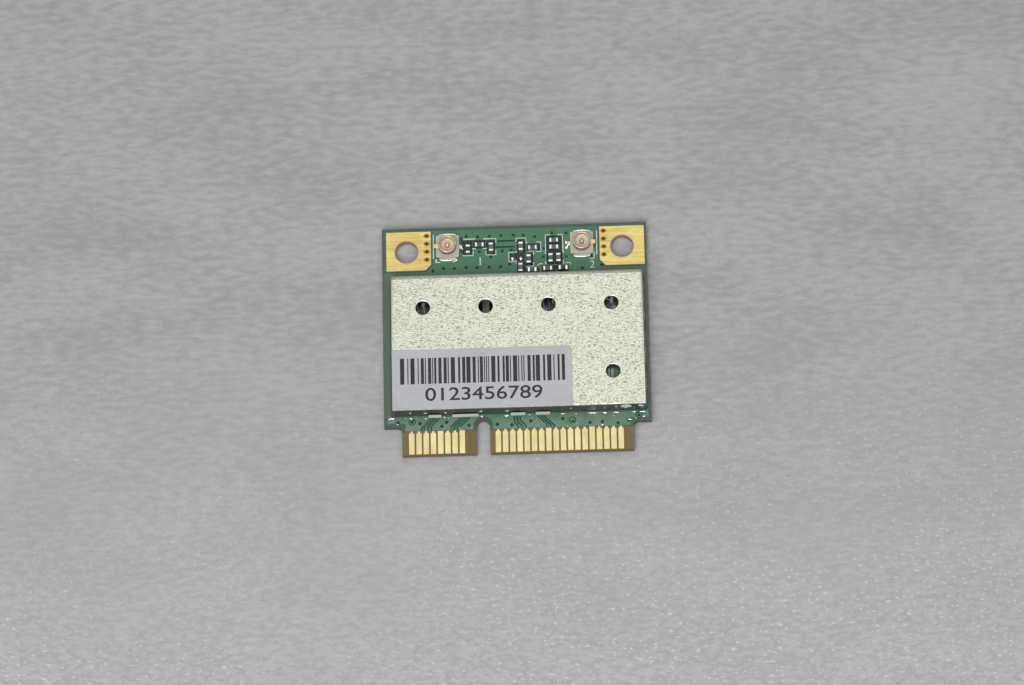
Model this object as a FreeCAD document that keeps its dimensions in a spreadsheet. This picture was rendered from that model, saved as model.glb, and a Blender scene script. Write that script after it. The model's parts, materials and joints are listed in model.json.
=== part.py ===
"""Half height mini card with a radio under a soldered shield.

All lengths are in millimetres. The origin lies on the underside of the board, at the middle
of its outline. X runs along the row of contacts, Y points from the contacts towards the
antenna sockets and Z points up through the shield.
"""
import FreeCAD
import Part
import Sketcher
import os
from FreeCAD import Vector

# Every driving size, written once. The sheet holds these numbers under the same names.
SIZES = {
    # Board outline, with the tongue and its shoulders
    "board_width": 29.7,
    "board_depth": 26.6,
    "board_thick": 1.0,
    "tongue_inset": 2.0,
    "tongue_length": 3.3,
    "shoulder_radius": 0.55,
    "mask_gap": 2.7,
    "plate_thick": 0.05,
    # Key notch between the two groups of contacts
    "key_offset": 3.85,
    "key_width": 1.5,
    "key_depth": 3.9,
    # Edge contacts
    "contact_pitch": 0.8,
    "contact_width": 0.6,
    "contact_length": 2.34,
    "contact_setback": 0.06,
    "left_key_gap": 2.35,
    "right_key_gap": 1.65,
    "neck_width": 0.25,
    # Screw holes and the plated grounds around them
    "hole_radius": 1.3,
    "hole_side": 2.75,
    "hole_back": 2.8,
    "barrel_wall": 0.05,
    "ground_width": 5.0,
    "ground_depth": 4.6,
    "ground_shift": 0.23,
    "ground_lift": 0.1,
    "ground_chamfer": 0.65,
    "via_radius": 0.14,
    "via_pitch": 0.94,
    "via_inset": 0.45,
    "via_lift": 0.38,
    # Shield
    "can_left_gap": 1.01,
    "can_right_gap": 0.55,
    "can_front_gap": 1.2,
    "can_back_gap": 6.28,
    "can_height": 2.2,
    "sheet": 0.2,
    "bend_radius": 0.24,
    "seam": 0.12,
    "vent_radius": 0.78,
    "vent_pitch": 7.0,
    "vent_row": 8.0,
    "vent_lift": 0.015,
    "arch_height": 0.95,
    "arch_corner": 0.27,
    "bead": 0.18,
    "bead_gap": 0.45,
    # Label
    "label_width": 20.02,
    "label_depth": 6.95,
    "label_thick": 0.07,
    "label_corner": 0.5,
    "label_side": 0.05,
    "label_end": 0.08,
    # Coaxial sockets
    "socket_left": 7.37,
    "socket_right": 7.25,
    "socket_back": 2.35,
    "socket_block": 2.6,
    "socket_chamfer": 0.3,
    "socket_floor": 0.45,
    "socket_height": 1.25,
    "ring_radius": 1.0,
    "ring_wall": 0.15,
    "ring_land": 0.15,
    "ring_slot": 0.1,
    "ring_groove": 0.07,
    "foot_thick": 0.12,
    "foot_width": 1.9,
    "foot_reach": 1.55,
    "leg_width": 0.8,
    "tab_width": 0.6,
    "pin_radius": 0.25,
    "pin_height": 0.95,
    "pin_bevel": 0.12,
    "tail_width": 0.5,
    # Small ceramic chips
    "chip_length": 1.0,
    "chip_width": 0.5,
    "chip_height": 0.46,
    "chip_cap": 0.25,
    "bypass_length": 1.6,
    "bypass_width": 0.8,
    "bypass_height": 0.75,
    "bypass_cap": 0.35,
    "cap_step": 0.02,
    # Chips under the shield
    "radio_size": 7.0,
    "radio_height": 0.85,
    "module_size": 3.0,
    "module_height": 0.9,
    "mark_radius": 0.3,
    "mark_depth": 0.05,
    "crystal_length": 3.2,
    "crystal_width": 2.5,
    "crystal_base": 0.5,
    "crystal_lid": 0.2,
    "crystal_rim": 0.2,
    "memory_length": 3.0,
    "memory_width": 2.0,
    "memory_height": 0.75,
    "balun_length": 2.0,
    "balun_width": 1.25,
    "balun_height": 0.7,
    "coil_size": 3.0,
    "coil_flange": 0.35,
    "coil_core": 1.0,
    "coil_height": 1.3,
    "regulator_length": 2.9,
    "regulator_width": 1.6,
    "regulator_height": 1.1,
    "lead_width": 0.4,
    "lead_reach": 0.6,
    "lead_thick": 0.15,
    "lead_pitch": 0.95,
}

LEFT_CONTACTS = 8
RIGHT_CONTACTS = 18
GROUND_VIAS = 4
VENTS = 4
# Contacts that run on under the mask instead of ending in a narrow neck.
FULL_CONTACTS = (4, 7, 15, 21)

doc = FreeCAD.newDocument("wifi_card")
sheet = doc.addObject("Spreadsheet::Sheet", "Sizes")
for row, (alias, number) in enumerate(SIZES.items(), start=1):
    sheet.set(f"A{row}", alias)
    sheet.set(f"B{row}", str(number))
    sheet.setAlias(f"B{row}", alias)
doc.recompute()


class Size:
    """A length that carries both its number and its formula in the sheet."""

    def __init__(self, value, text):
        self.value = value
        self.text = text

    @staticmethod
    def of(other):
        if isinstance(other, Size):
            return other
        return Size(float(other), repr(float(other)))

    def __add__(self, other):
        other = Size.of(other)
        return Size(self.value + other.value, f"({self.text} + {other.text})")

    def __sub__(self, other):
        other = Size.of(other)
        return Size(self.value - other.value, f"({self.text} - {other.text})")

    def __mul__(self, other):
        other = Size.of(other)
        return Size(self.value * other.value, f"({self.text} * {other.text})")

    def __truediv__(self, other):
        other = Size.of(other)
        return Size(self.value / other.value, f"({self.text} / {other.text})")

    def __neg__(self):
        return Size(-self.value, f"(0 - {self.text})")

    __radd__ = __add__

    def __rsub__(self, other):
        return Size.of(other) - self

    __rmul__ = __mul__


def size(name):
    """The named size, tied to its cell in the sheet."""
    return Size(SIZES[name], f"Sizes.{name}")


def drive(thing, path, value):
    """Tie one property of an object to a formula."""
    thing.setExpression(path, Size.of(value).text)


def put(thing, x, y, z):
    """Tie an object's place to three formulas."""
    for axis, value in zip("xyz", (x, y, z)):
        drive(thing, f"Placement.Base.{axis}", value)


def block(name, length, width, height, x, y, z):
    """A box centred on x and y that stands on z."""
    box = doc.addObject("Part::Box", name)
    drive(box, "Length", length)
    drive(box, "Width", width)
    drive(box, "Height", height)
    put(box, x - Size.of(length) / 2, y - Size.of(width) / 2, z)
    return box


def rod(name, radius, height, x, y, z):
    """An upright cylinder that stands on z."""
    cylinder = doc.addObject("Part::Cylinder", name)
    drive(cylinder, "Radius", radius)
    drive(cylinder, "Height", height)
    put(cylinder, x, y, z)
    return cylinder


def cut(name, base, tool):
    """The base with the tool taken out of it."""
    result = doc.addObject("Part::Cut", name)
    result.Base = base
    result.Tool = tool
    return result


def fuse(name, pieces):
    """Touching pieces joined into one solid."""
    result = doc.addObject("Part::MultiFuse", name)
    result.Shapes = pieces
    result.Refine = True
    return result


def gather(name, pieces):
    """Equal pieces that lie apart, kept in one node."""
    result = doc.addObject("Part::Compound", name)
    result.Links = pieces
    return result


def new_body(name):
    """An empty body with its own origin."""
    body = doc.addObject("PartDesign::Body", name)
    body.Label = name
    return body


def plane(body, role):
    """One of the origin planes of a body."""
    return [feature for feature in body.Origin.OriginFeatures if feature.Role == role][0]


def new_sketch(body, name, role, level=0.0):
    """A sketch on an origin plane of its body, moved along the plane's normal by level."""
    sketch = body.newObject("Sketcher::SketchObject", name)
    sketch.AttachmentSupport = (plane(body, role), [""])
    sketch.MapMode = "FlatFace"
    drive(sketch, "AttachmentOffset.Base.z", level)
    return sketch


def tie(sketch, geometry, point, x, y):
    """Hold a sketch point at two formulas measured from the sketch's origin."""
    for kind, axis, value in (("DistanceX", -2, x), ("DistanceY", -1, y)):
        value = Size.of(value)
        if value.text == "0.0":
            sketch.addConstraint(Sketcher.Constraint("PointOnObject", geometry, point, axis))
            continue
        index = sketch.addConstraint(
            Sketcher.Constraint(kind, -1, 1, geometry, point, value.value))
        sketch.setExpression(f"Constraints[{index}]", value.text)


def outline(sketch, corners):
    """A closed outline of straight lines through the corners."""
    corners = [(Size.of(x), Size.of(y)) for x, y in corners]
    points = [Vector(x.value, y.value, 0) for x, y in corners]
    first = sketch.GeometryCount
    count = len(points)
    for step in range(count):
        sketch.addGeometry(Part.LineSegment(points[step], points[(step + 1) % count]), False)
    for step in range(count):
        after = first + (step + 1) % count
        sketch.addConstraint(Sketcher.Constraint("Coincident", first + step, 2, after, 1))
    for step, (x, y) in enumerate(corners):
        tie(sketch, first + step, 1, x, y)


def rectangle(sketch, left, right, low, high):
    """A closed rectangle between four formulas."""
    outline(sketch, [(left, low), (right, low), (right, high), (left, high)])


def circle(sketch, x, y, radius):
    """A circle whose centre and radius follow formulas."""
    x, y, radius = Size.of(x), Size.of(y), Size.of(radius)
    ring = Part.Circle(Vector(x.value, y.value, 0), Vector(0, 0, 1), radius.value)
    index = sketch.addGeometry(ring, False)
    tie(sketch, index, 3, x, y)
    bound = sketch.addConstraint(Sketcher.Constraint("Radius", index, radius.value))
    sketch.setExpression(f"Constraints[{bound}]", radius.text)


def pad(body, name, sketch, length):
    """Material added along the sketch's normal."""
    feature = body.newObject("PartDesign::Pad", name)
    feature.Profile = sketch
    drive(feature, "Length", length)
    return feature


def pocket(body, name, sketch, depth=None, along=False):
    """Material removed against the sketch's normal, or along it. No depth means right through."""
    feature = body.newObject("PartDesign::Pocket", name)
    feature.Profile = sketch
    feature.Reversed = along
    if depth is None:
        feature.Type = "ThroughAll"
    else:
        drive(feature, "Length", depth)
    return feature


def ease_edges(body, name, base, amount, wanted, kind="Fillet"):
    """A fillet, or a flat chamfer, on each edge of the base that passes the test."""
    doc.recompute()
    names = []
    for index, edge in enumerate(base.Shape.Edges, start=1):
        middle = edge.valueAt((edge.FirstParameter + edge.LastParameter) / 2)
        if wanted(edge, middle):
            names.append(f"Edge{index}")
    feature = body.newObject(f"PartDesign::{kind}", name)
    feature.Base = (base, names)
    drive(feature, "Radius" if kind == "Fillet" else "Size", amount)
    return feature


def near(one, other):
    """Whether two numbers agree within a hundredth of a micrometre."""
    return abs(one - other) < 1e-5


top = size("board_thick")
half_width = size("board_width") / 2
back = size("board_depth") / 2
front = -back
half_tongue = half_width - size("tongue_inset")
shoulder = front + size("tongue_length")
mask_edge = front + size("mask_gap")
plate = size("plate_thick")
hole_y = back - size("hole_back")
hole_x = half_width - size("hole_side")
ground_y = hole_y + size("ground_lift")
key_x = -size("key_offset")


def ground_outline(side):
    """Corners of the plated ground on one side. The corner next to the shield is cut off."""
    centre = hole_x * side
    if side < 0:
        centre = centre + size("ground_shift")
    outer = centre + size("ground_width") / 2 * side
    inner = centre - size("ground_width") / 2 * side
    low = ground_y - size("ground_depth") / 2
    high = ground_y + size("ground_depth") / 2
    chamfer = size("ground_chamfer")
    return [(outer, low), (outer, high), (inner, high), (inner, low + chamfer),
            (inner + chamfer * side, low)], inner


def via_places(side):
    """Centres of the small plated holes along the inner edge of a ground."""
    x = ground_outline(side)[1] + size("via_inset") * side
    first = ground_y + size("via_lift") - size("via_pitch") * (GROUND_VIAS - 1) / 2
    return [(x, first + size("via_pitch") * step) for step in range(GROUND_VIAS)]


def make_board():
    """One routed panel with the tongue, its shoulders, the key notch and the seats."""
    board = new_body("circuit_board")
    sketch = new_sketch(board, "board_outline", "XY_Plane")
    outline(sketch, [(-half_width, shoulder), (-half_tongue, shoulder), (-half_tongue, front),
                     (half_tongue, front), (half_tongue, shoulder), (half_width, shoulder),
                     (half_width, back), (-half_width, back)])
    panel = pad(board, "panel", sketch, top)
    ease_edges(board, "shoulders", panel, size("shoulder_radius"),
               lambda edge, middle: near(abs(middle.x), half_tongue.value)
               and near(middle.y, shoulder.value) and near(middle.z, top.value / 2))

    key_half = size("key_width") / 2
    key_end = front + size("key_depth") - key_half
    sketch = new_sketch(board, "key_slot", "XY_Plane")
    rectangle(sketch, key_x - key_half, key_x + key_half, front - key_half, key_end)
    pocket(board, "key_cut", sketch, along=True)
    sketch = new_sketch(board, "key_round", "XY_Plane")
    circle(sketch, key_x, key_end, key_half)
    pocket(board, "key_round_cut", sketch, along=True)

    for face, level, along in (("upper", top, False), ("lower", 0.0, True)):
        sketch = new_sketch(board, f"{face}_bare_tongue", "XY_Plane", level)
        rectangle(sketch, -half_tongue, half_tongue, front, mask_edge)
        pocket(board, f"{face}_bare_tongue_cut", sketch, plate, along)
        sketch = new_sketch(board, f"{face}_ground_seats", "XY_Plane", level)
        outline(sketch, ground_outline(-1)[0])
        outline(sketch, ground_outline(1)[0])
        pocket(board, f"{face}_ground_seats_cut", sketch, plate, along)

    sketch = new_sketch(board, "drilling", "XY_Plane")
    for side in (-1, 1):
        circle(sketch, hole_x * side, hole_y, size("hole_radius") + size("barrel_wall"))
        for x, y in via_places(side):
            circle(sketch, x, y, size("via_radius"))
    pocket(board, "drilled", sketch, along=True)
    return board


def make_ground(label, side):
    """An upper and a lower plate joined by the plated barrel of the screw hole."""
    ground = new_body(label)
    sketch = new_sketch(ground, f"{label}_barrel", "XY_Plane")
    circle(sketch, hole_x * side, hole_y, size("hole_radius") + size("barrel_wall"))
    pad(ground, f"{label}_tube", sketch, top)
    for face, level in (("lower", 0.0), ("upper", top - plate)):
        sketch = new_sketch(ground, f"{label}_{face}", "XY_Plane", level)
        outline(sketch, ground_outline(side)[0])
        pad(ground, f"{label}_{face}_plate", sketch, plate)
    sketch = new_sketch(ground, f"{label}_holes", "XY_Plane")
    circle(sketch, hole_x * side, hole_y, size("hole_radius"))
    for x, y in via_places(side):
        circle(sketch, x, y, size("via_radius"))
    pocket(ground, f"{label}_drilled", sketch, along=True)
    return ground


def contact_centres():
    """Centres of the contacts, counted outwards from the key notch on each side."""
    pitch = size("contact_pitch")
    left = [key_x - size("left_key_gap") - pitch * step
            for step in reversed(range(LEFT_CONTACTS))]
    right = [key_x + size("right_key_gap") + pitch * step for step in range(RIGHT_CONTACTS)]
    return left + right


def make_contacts(label, level):
    """A row of gold fingers. Most end in a narrow neck that runs under the mask."""
    fingers = []
    low = front + size("contact_setback")
    long = mask_edge - low
    length = size("contact_length")
    for number, x in enumerate(contact_centres()):
        name = f"{label}_{number + 1}"
        if number in FULL_CONTACTS:
            fingers.append(block(name, size("contact_width"), long, plate,
                                 x, low + long / 2, level))
            continue
        finger = block(name, size("contact_width"), length, plate, x, low + length / 2, level)
        neck = block(f"{name}_neck", size("neck_width"), long - length, plate,
                     x, low + (long + length) / 2, level)
        fingers.append(fuse(f"{name}_finger", [finger, neck]))
    return gather(label, fingers)


can_left = size("can_left_gap") - half_width
can_right = half_width - size("can_right_gap")
can_front = shoulder + size("can_front_gap")
can_back = back - size("can_back_gap")
can_x = (can_left + can_right) / 2
can_y = (can_front + can_back) / 2
lid = top + size("can_height")

# Arches in the front wall, where the traces from the contacts pass under the shield. Each is
# the distance of its middle from the key notch and its width.
ARCHES = ((-5.35, 1.4), (-1.95, 2.85), (3.9, 1.6), (6.65, 1.6))


def make_can():
    """One folded sheet, open below, with open seams at its four corners."""
    can = new_body("shield_can")
    sketch = new_sketch(can, "can_plan", "XY_Plane", top)
    rectangle(sketch, can_left, can_right, can_front, can_back)
    solid = pad(can, "can_block", sketch, size("can_height"))
    folded = ease_edges(can, "can_bends", solid, size("bend_radius"),
                        lambda edge, middle: near(middle.z, lid.value))
    doc.recompute()
    open_face = [f"Face{index}" for index, face in enumerate(folded.Shape.Faces, start=1)
                 if near(face.CenterOfMass.z, top.value)]
    thin = can.newObject("PartDesign::Thickness", "can_sheet")
    thin.Base = (folded, open_face)
    thin.Mode = "Skin"
    thin.Join = "Arc"
    thin.Reversed = True
    drive(thin, "Value", size("sheet"))

    sketch = new_sketch(can, "vents", "XY_Plane", lid)
    vent_y = can_y + size("vent_lift") + size("vent_row") / 2
    last_vent = can_x + size("vent_pitch") * (VENTS - 1) / 2
    for step in range(VENTS):
        circle(sketch, last_vent - size("vent_pitch") * step, vent_y, size("vent_radius"))
    circle(sketch, last_vent, vent_y - size("vent_row"), size("vent_radius"))
    pocket(can, "vents_cut", sketch, size("sheet") * 2)

    sketch = new_sketch(can, "arches", "XZ_Plane", -can_front)
    crown = top + size("arch_height")
    corner = size("arch_corner")
    for offset, width in ARCHES:
        left = key_x + offset - width / 2
        right = left + width
        outline(sketch, [(left, top - corner), (right, top - corner), (right, crown - corner),
                         (right - corner, crown), (left + corner, crown),
                         (left, crown - corner)])
    pocket(can, "arches_cut", sketch, size("sheet") * 2)

    sketch = new_sketch(can, "seams", "XY_Plane", top)
    sheet_thick = size("sheet")
    for x, side in ((can_left, -1), (can_right, 1)):
        for y, end in ((can_front, -1), (can_back, 1)):
            outer = x + sheet_thick * side
            inner = x - sheet_thick * 2 * side
            near_wall = y - sheet_thick * end
            far_wall = near_wall - size("seam") * end
            outline(sketch, [(outer, near_wall), (inner, near_wall), (inner, far_wall),
                             (outer, far_wall)])
    pocket(can, "seams_cut", sketch, size("can_height") - size("bend_radius"), along=True)
    return can


UP = Vector(0, 0, 1)
RIGHT = Vector(1, 0, 0)
AWAY = Vector(0, 1, 0)


def bead(name, axes, length, x, y):
    """A quarter round of solder between wall and board, along the third of its axes."""
    bar = doc.addObject("Part::Cylinder", name)
    bar.Placement = FreeCAD.Placement(Vector(), FreeCAD.Rotation(*axes, "XYZ"))
    bar.Angle = 90
    drive(bar, "Radius", size("bead"))
    drive(bar, "Height", length)
    put(bar, x, y, top)
    return bar


def make_solder():
    """Beads along the foot of the shield, between the arches and in short runs elsewhere."""
    gap = size("bead_gap")
    beads = []
    starts = [can_left] + [key_x + offset + width / 2 for offset, width in ARCHES]
    ends = [key_x + offset - width / 2 for offset, width in ARCHES] + [can_right]
    for number, (start, end) in enumerate(zip(starts, ends), start=1):
        beads.append(bead(f"front_bead_{number}", (UP, -AWAY, RIGHT),
                          end - start - gap * 2, start + gap, can_front))
    run = (can_right - can_left) / 4
    for step in range(4):
        beads.append(bead(f"back_bead_{step + 1}", (AWAY, UP, RIGHT),
                          run - gap * 2, can_left + run * step + gap, can_back))
    run = (can_back - can_front) / 3
    for step in range(3):
        y = can_front + run * step + gap
        beads.append(bead(f"left_bead_{step + 1}", (-RIGHT, UP, AWAY), run - gap * 2,
                          can_left, y))
        beads.append(bead(f"right_bead_{step + 1}", (UP, RIGHT, AWAY), run - gap * 2,
                          can_right, y))
    return gather("shield_solder", beads)


def make_label():
    """A thin film on the lid, flush with its left and front edges."""
    left = can_left + size("label_side")
    right = left + size("label_width")
    low = can_front + size("label_end")
    high = low + size("label_depth")
    label = new_body("label")
    sketch = new_sketch(label, "label_plan", "XY_Plane", lid)
    rectangle(sketch, left, right, low, high)
    film = pad(label, "film", sketch, size("label_thick"))
    ease_edges(label, "label_round", film, size("label_corner"),
               lambda edge, middle: near(middle.x, right.value) and near(middle.y, high.value))
    return label


def make_ring(name, x, y):
    """A turned ring with a groove for the plug's spring and a bevelled mouth.

    It is turned by an eighth of a circle, so that its closing line meets neither leg nor ear.
    """
    radius = size("ring_radius")
    inner = radius - size("ring_wall")
    floor = size("socket_floor")
    high = size("socket_height")
    groove = size("ring_groove")
    slot_low = floor + size("ring_land") + groove
    slot_high = slot_low + size("ring_slot")
    ring = new_body(f"{name}_ring")
    section = new_sketch(ring, f"{name}_section", "XZ_Plane")
    outline(section, [(inner, floor), (radius, floor), (radius, slot_low - groove),
                      (radius - groove, slot_low), (radius - groove, slot_high),
                      (radius, slot_high + groove), (radius, high - groove),
                      (radius - groove, high), (inner + groove, high),
                      (inner, high - groove)])
    turned = ring.newObject("PartDesign::Revolution", f"{name}_turned")
    turned.Profile = section
    turned.ReferenceAxis = (section, ["V_Axis"])
    turned.Angle = 360.0
    ring.Placement = FreeCAD.Placement(Vector(), FreeCAD.Rotation(UP, 45))
    put(ring, x, y, top)
    return ring


def make_shell(name, x, y, sense):
    """The ring with two flat legs, a foot on each leg and an ear opposite the tail."""
    radius = size("ring_radius")
    wall = size("ring_wall")
    floor = size("socket_floor")
    leg_middle = radius - wall
    reach = size("foot_reach") - leg_middle + wall / 2
    pieces = [make_ring(name, x, y)]
    for number, end in enumerate((-1, 1), start=1):
        pieces.append(block(f"{name}_leg_{number}", size("leg_width"), wall, floor + wall / 2,
                            x, y + leg_middle * end, top))
        pieces.append(block(f"{name}_foot_{number}", size("foot_width"), reach,
                            size("foot_thick"), x,
                            y + (size("foot_reach") - reach / 2) * end, top))
    tab = size("foot_reach") - leg_middle
    ear = block(f"{name}_ear", tab, size("tab_width"), size("foot_thick"),
                x - (leg_middle + tab / 2) * sense, y, top + floor)
    bore = rod(f"{name}_ear_bore", leg_middle, size("socket_height"), x, y, top)
    pieces.append(cut(f"{name}_ear_trim", ear, bore))
    return fuse(f"{name}_shell", pieces)


def make_pin(name, x, y, sense):
    """The centre pin with a bevelled tip and a flat tail under the moulding."""
    pin = new_body(f"{name}_post")
    section = new_sketch(pin, f"{name}_post_plan", "XY_Plane")
    circle(section, 0.0, 0.0, size("pin_radius"))
    post = pad(pin, f"{name}_post_pad", section, size("pin_height"))
    ease_edges(pin, f"{name}_post_tip", post, size("pin_bevel"),
               lambda edge, middle: near(middle.z, SIZES["pin_height"])
               and near(edge.BoundBox.ZLength, 0.0), "Chamfer")
    put(pin, x, y, top)
    tail = block(f"{name}_tail", size("foot_reach"), size("tail_width"), size("foot_thick"),
                 x + size("foot_reach") / 2 * sense, y, top)
    return fuse(f"{name}_pin", [pin, tail])


def make_socket(number, x, sense):
    """One coaxial socket. Its tail points along sense and its ear the other way."""
    name = f"antenna_socket_{number}"
    y = back - size("socket_back")
    shell = make_shell(name, x, y, sense)
    pin = make_pin(name, x, y, sense)
    half = size("socket_block") / 2
    flat = half - size("socket_chamfer")
    moulding = new_body(f"{name}_moulding")
    plan = new_sketch(moulding, f"{name}_plan", "XY_Plane")
    outline(plan, [(-flat, -half), (flat, -half), (half, -flat), (half, flat),
                   (flat, half), (-flat, half), (-half, flat), (-half, -flat)])
    pad(moulding, f"{name}_moulded", plan, size("socket_floor"))
    put(moulding, x, y, top)
    insulator = cut(f"{name}_insulator", cut(f"{name}_seated", moulding, shell), pin)
    return [insulator, shell, pin]


def make_chip(name, kind, x, y, upright):
    """A ceramic chip with two fired end caps, lying along X or upright along Y."""
    length = size(f"{kind}_length")
    width = size(f"{kind}_width")
    height = size(f"{kind}_height")
    cap = size(f"{kind}_cap")
    step = size("cap_step")
    shift = (length - cap) / 2
    if upright:
        middle = block(f"{name}_middle", width - step * 2, length - cap, height - step,
                       x, y, top)
        ends = [block(f"{name}_end_{side + 2}", width, cap, height, x, y + shift * side, top)
                for side in (-1, 1)]
    else:
        middle = block(f"{name}_middle", length - cap, width - step * 2, height - step,
                       x, y, top)
        ends = [block(f"{name}_end_{side + 2}", cap, width, height, x + shift * side, y, top)
                for side in (-1, 1)]
    return fuse(name, [middle, *ends])


# Matching parts between the two sockets: the share of the way from the first tail to the last,
# the share of the way from the board's back edge to the shield, and whether the part stands
# along Y.
MATCHING = {
    "match_resistor_1": (0.061, 0.434, True),
    "match_inductor_1": (0.170, 0.358, False),
    "match_capacitor_1": (0.279, 0.409, True),
    "match_capacitor_2": (0.558, 0.411, True),
    "match_inductor_2": (0.667, 0.441, False),
    "match_capacitor_3": (0.551, 0.809, True),
    "match_capacitor_4": (0.660, 0.860, False),
    "match_inductor_3": (0.629, 0.653, True),
    "match_capacitor_5": (0.868, 0.313, False),
    "match_capacitor_6": (0.867, 0.443, False),
    "match_inductor_4": (0.835, 0.645, True),
    "match_capacitor_7": (0.908, 0.643, True),
    "match_capacitor_8": (0.805, 0.845, False),
    "match_resistor_2": (0.950, 0.838, False),
}
socket_1_x = size("socket_left") - half_width
socket_2_x = half_width - size("socket_right")


def make_matching():
    """The small chips on the board between the two sockets."""
    first_tail = socket_1_x + size("foot_reach")
    last_tail = socket_2_x - size("foot_reach")
    made = []
    for name, (along, down, upright) in MATCHING.items():
        made.append(make_chip(name, "chip", first_tail + (last_tail - first_tail) * along,
                              back - size("can_back_gap") * down, upright))
    return made


def make_package(name, length, width, height, x, y):
    """A moulded chip with a round mark sunk beside its first lead."""
    body = block(f"{name}_block", length, width, height, x, y, top)
    inset = size("mark_radius") * 2
    mark = rod(f"{name}_mark", size("mark_radius"), size("mark_depth"),
               x - length / 2 + inset, y + width / 2 - inset,
               top + height - size("mark_depth"))
    return cut(name, body, mark)


def make_crystal(x, y):
    """A ceramic tray closed by a smaller metal lid."""
    length = size("crystal_length")
    width = size("crystal_width")
    rim = size("crystal_rim") * 2
    tray = block("crystal_tray", length, width, size("crystal_base"), x, y, top)
    cover = block("crystal_cover", length - rim, width - rim, size("crystal_lid"),
                  x, y, top + size("crystal_base"))
    return fuse("crystal", [tray, cover])


def make_coil(name, x, y):
    """A drum core with square flanges."""
    wide = size("coil_size")
    flange = size("coil_flange")
    lower = block(f"{name}_lower", wide, wide, flange, x, y, top)
    upper = block(f"{name}_upper", wide, wide, flange, x, y,
                  top + size("coil_height") - flange)
    core = rod(f"{name}_core", size("coil_core"), size("coil_height"), x, y, top)
    return fuse(name, [lower, upper, core])


def make_regulator(x, y):
    """A small moulded block with three leads on one side and two on the other."""
    width = size("regulator_width")
    reach = size("lead_reach")
    pieces = [block("regulator_block", size("regulator_length"), width,
                    size("regulator_height"), x, y, top)]
    leads = ((-1, -1), (0, -1), (1, -1), (-1, 1), (1, 1))
    for number, (step, side) in enumerate(leads, start=1):
        pieces.append(block(f"regulator_lead_{number}", size("lead_width"), reach,
                            size("lead_thick"), x + size("lead_pitch") * step,
                            y + (width + reach) / 2 * side, top))
    return fuse("regulator", pieces)


def spread(start, end, lengths):
    """Centres of parts in a row between two edges, with equal gaps between and beside them."""
    used = lengths[0]
    for length in lengths[1:]:
        used = used + length
    gap = (end - start - used) / (len(lengths) + 1)
    centres = []
    edge = start
    for length in lengths:
        centres.append(edge + gap + length / 2)
        edge = edge + gap + length
    return centres


def make_covered_chips():
    """The chips under the shield: a row of small ones behind the radio chip and its columns."""
    radio = size("radio_size")
    module = size("module_size")
    balun = size("balun_length")
    small = size("bypass_width")
    tall = size("bypass_length")
    coil = size("coil_size")
    left = can_left + size("sheet")
    right = can_right - size("sheet")
    low = can_front + size("sheet")
    high = can_back - size("sheet")
    radio_y, row_y = spread(low, high, [radio, module])
    made = []

    places = spread(left, right,
                    [module, balun, small, balun, module, small, size("regulator_length")])
    for number, x in ((1, places[0]), (2, places[4])):
        made.append(make_package(f"front_end_module_{number}", module, module,
                                 size("module_height"), x, row_y))
    for number, x in ((1, places[1]), (2, places[3])):
        made.append(block(f"balun_{number}", balun, size("balun_width"), size("balun_height"),
                          x, row_y, top))
    for number, x in ((1, places[2]), (2, places[5])):
        made.append(make_chip(f"bypass_capacitor_{number}", "bypass", x, row_y, True))
    made.append(make_regulator(places[6], row_y))

    radio_low = radio_y - radio / 2
    radio_high = radio_y + radio / 2
    places = spread(left, right, [small, radio, small, size("crystal_length"), small, coil])
    made.append(make_package("radio_chip", radio, radio, size("radio_height"),
                             places[1], radio_y))
    column = zip((3, 4, 5), spread(radio_low, radio_high, [tall, tall, tall]))
    for number, y in column:
        made.append(make_chip(f"bypass_capacitor_{number}", "bypass", places[0], y, True))
    made.append(make_chip("bypass_capacitor_6", "bypass", places[2], radio_y, True))
    memory_y, crystal_y = spread(radio_low, radio_high,
                                 [size("memory_width"), size("crystal_width")])
    made.append(make_crystal(places[3], crystal_y))
    made.append(make_package("memory_chip", size("memory_length"), size("memory_width"),
                             size("memory_height"), places[3], memory_y))
    for number, y in zip((7, 8), spread(radio_low, radio_high, [tall, tall])):
        made.append(make_chip(f"bypass_capacitor_{number}", "bypass", places[4], y, True))
    for number, y in zip((1, 2), spread(radio_low, radio_high, [coil, coil])):
        made.append(make_coil(f"power_inductor_{number}", places[5], y))
    return made


nodes = [make_board(), make_ground("ground_pad_left", -1), make_ground("ground_pad_right", 1),
         make_contacts("edge_contacts_top", top - plate),
         make_contacts("edge_contacts_bottom", Size.of(0.0)),
         make_can(), make_solder(), make_label()]
nodes += make_socket(1, socket_1_x, 1) + make_socket(2, socket_2_x, -1)
nodes += make_matching() + make_covered_chips()

doc.recompute()
failed = [thing.Label for thing in doc.Objects if {"Invalid", "Error"} & set(thing.State)]
if failed:
    raise RuntimeError(f"failed objects: {failed}")
for node in nodes:
    node.Label = node.Name
    if node.Shape.isNull() or not node.Shape.isValid() or not node.Shape.Solids:
        raise RuntimeError(f"{node.Name} has no valid solid")

os.makedirs("parts", exist_ok=True)
for node in nodes:
    node.Shape.exportStep(f"parts/{node.Name}.step")
    bounds = node.Shape.BoundBox
    print(f"{node.Name}: {len(node.Shape.Solids)} solids, {node.Shape.Volume:.4f} mm3, "
          f"x {bounds.XMin:.2f} {bounds.XMax:.2f}, y {bounds.YMin:.2f} {bounds.YMax:.2f}, "
          f"z {bounds.ZMin:.2f} {bounds.ZMax:.2f}")
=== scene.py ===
"""Look of a half height mini card: its finishes, soldered detail, studio and camera.

Pieces are modelled in millimetres and handed over in metres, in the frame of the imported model.
"""
from __future__ import annotations

import json
import logging
import math
import random
from contextlib import contextmanager
from dataclasses import dataclass
from enum import Enum
from typing import Any, Callable, Iterator, Sequence

import bmesh
import bpy
from mathutils import Matrix, Vector

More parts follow.
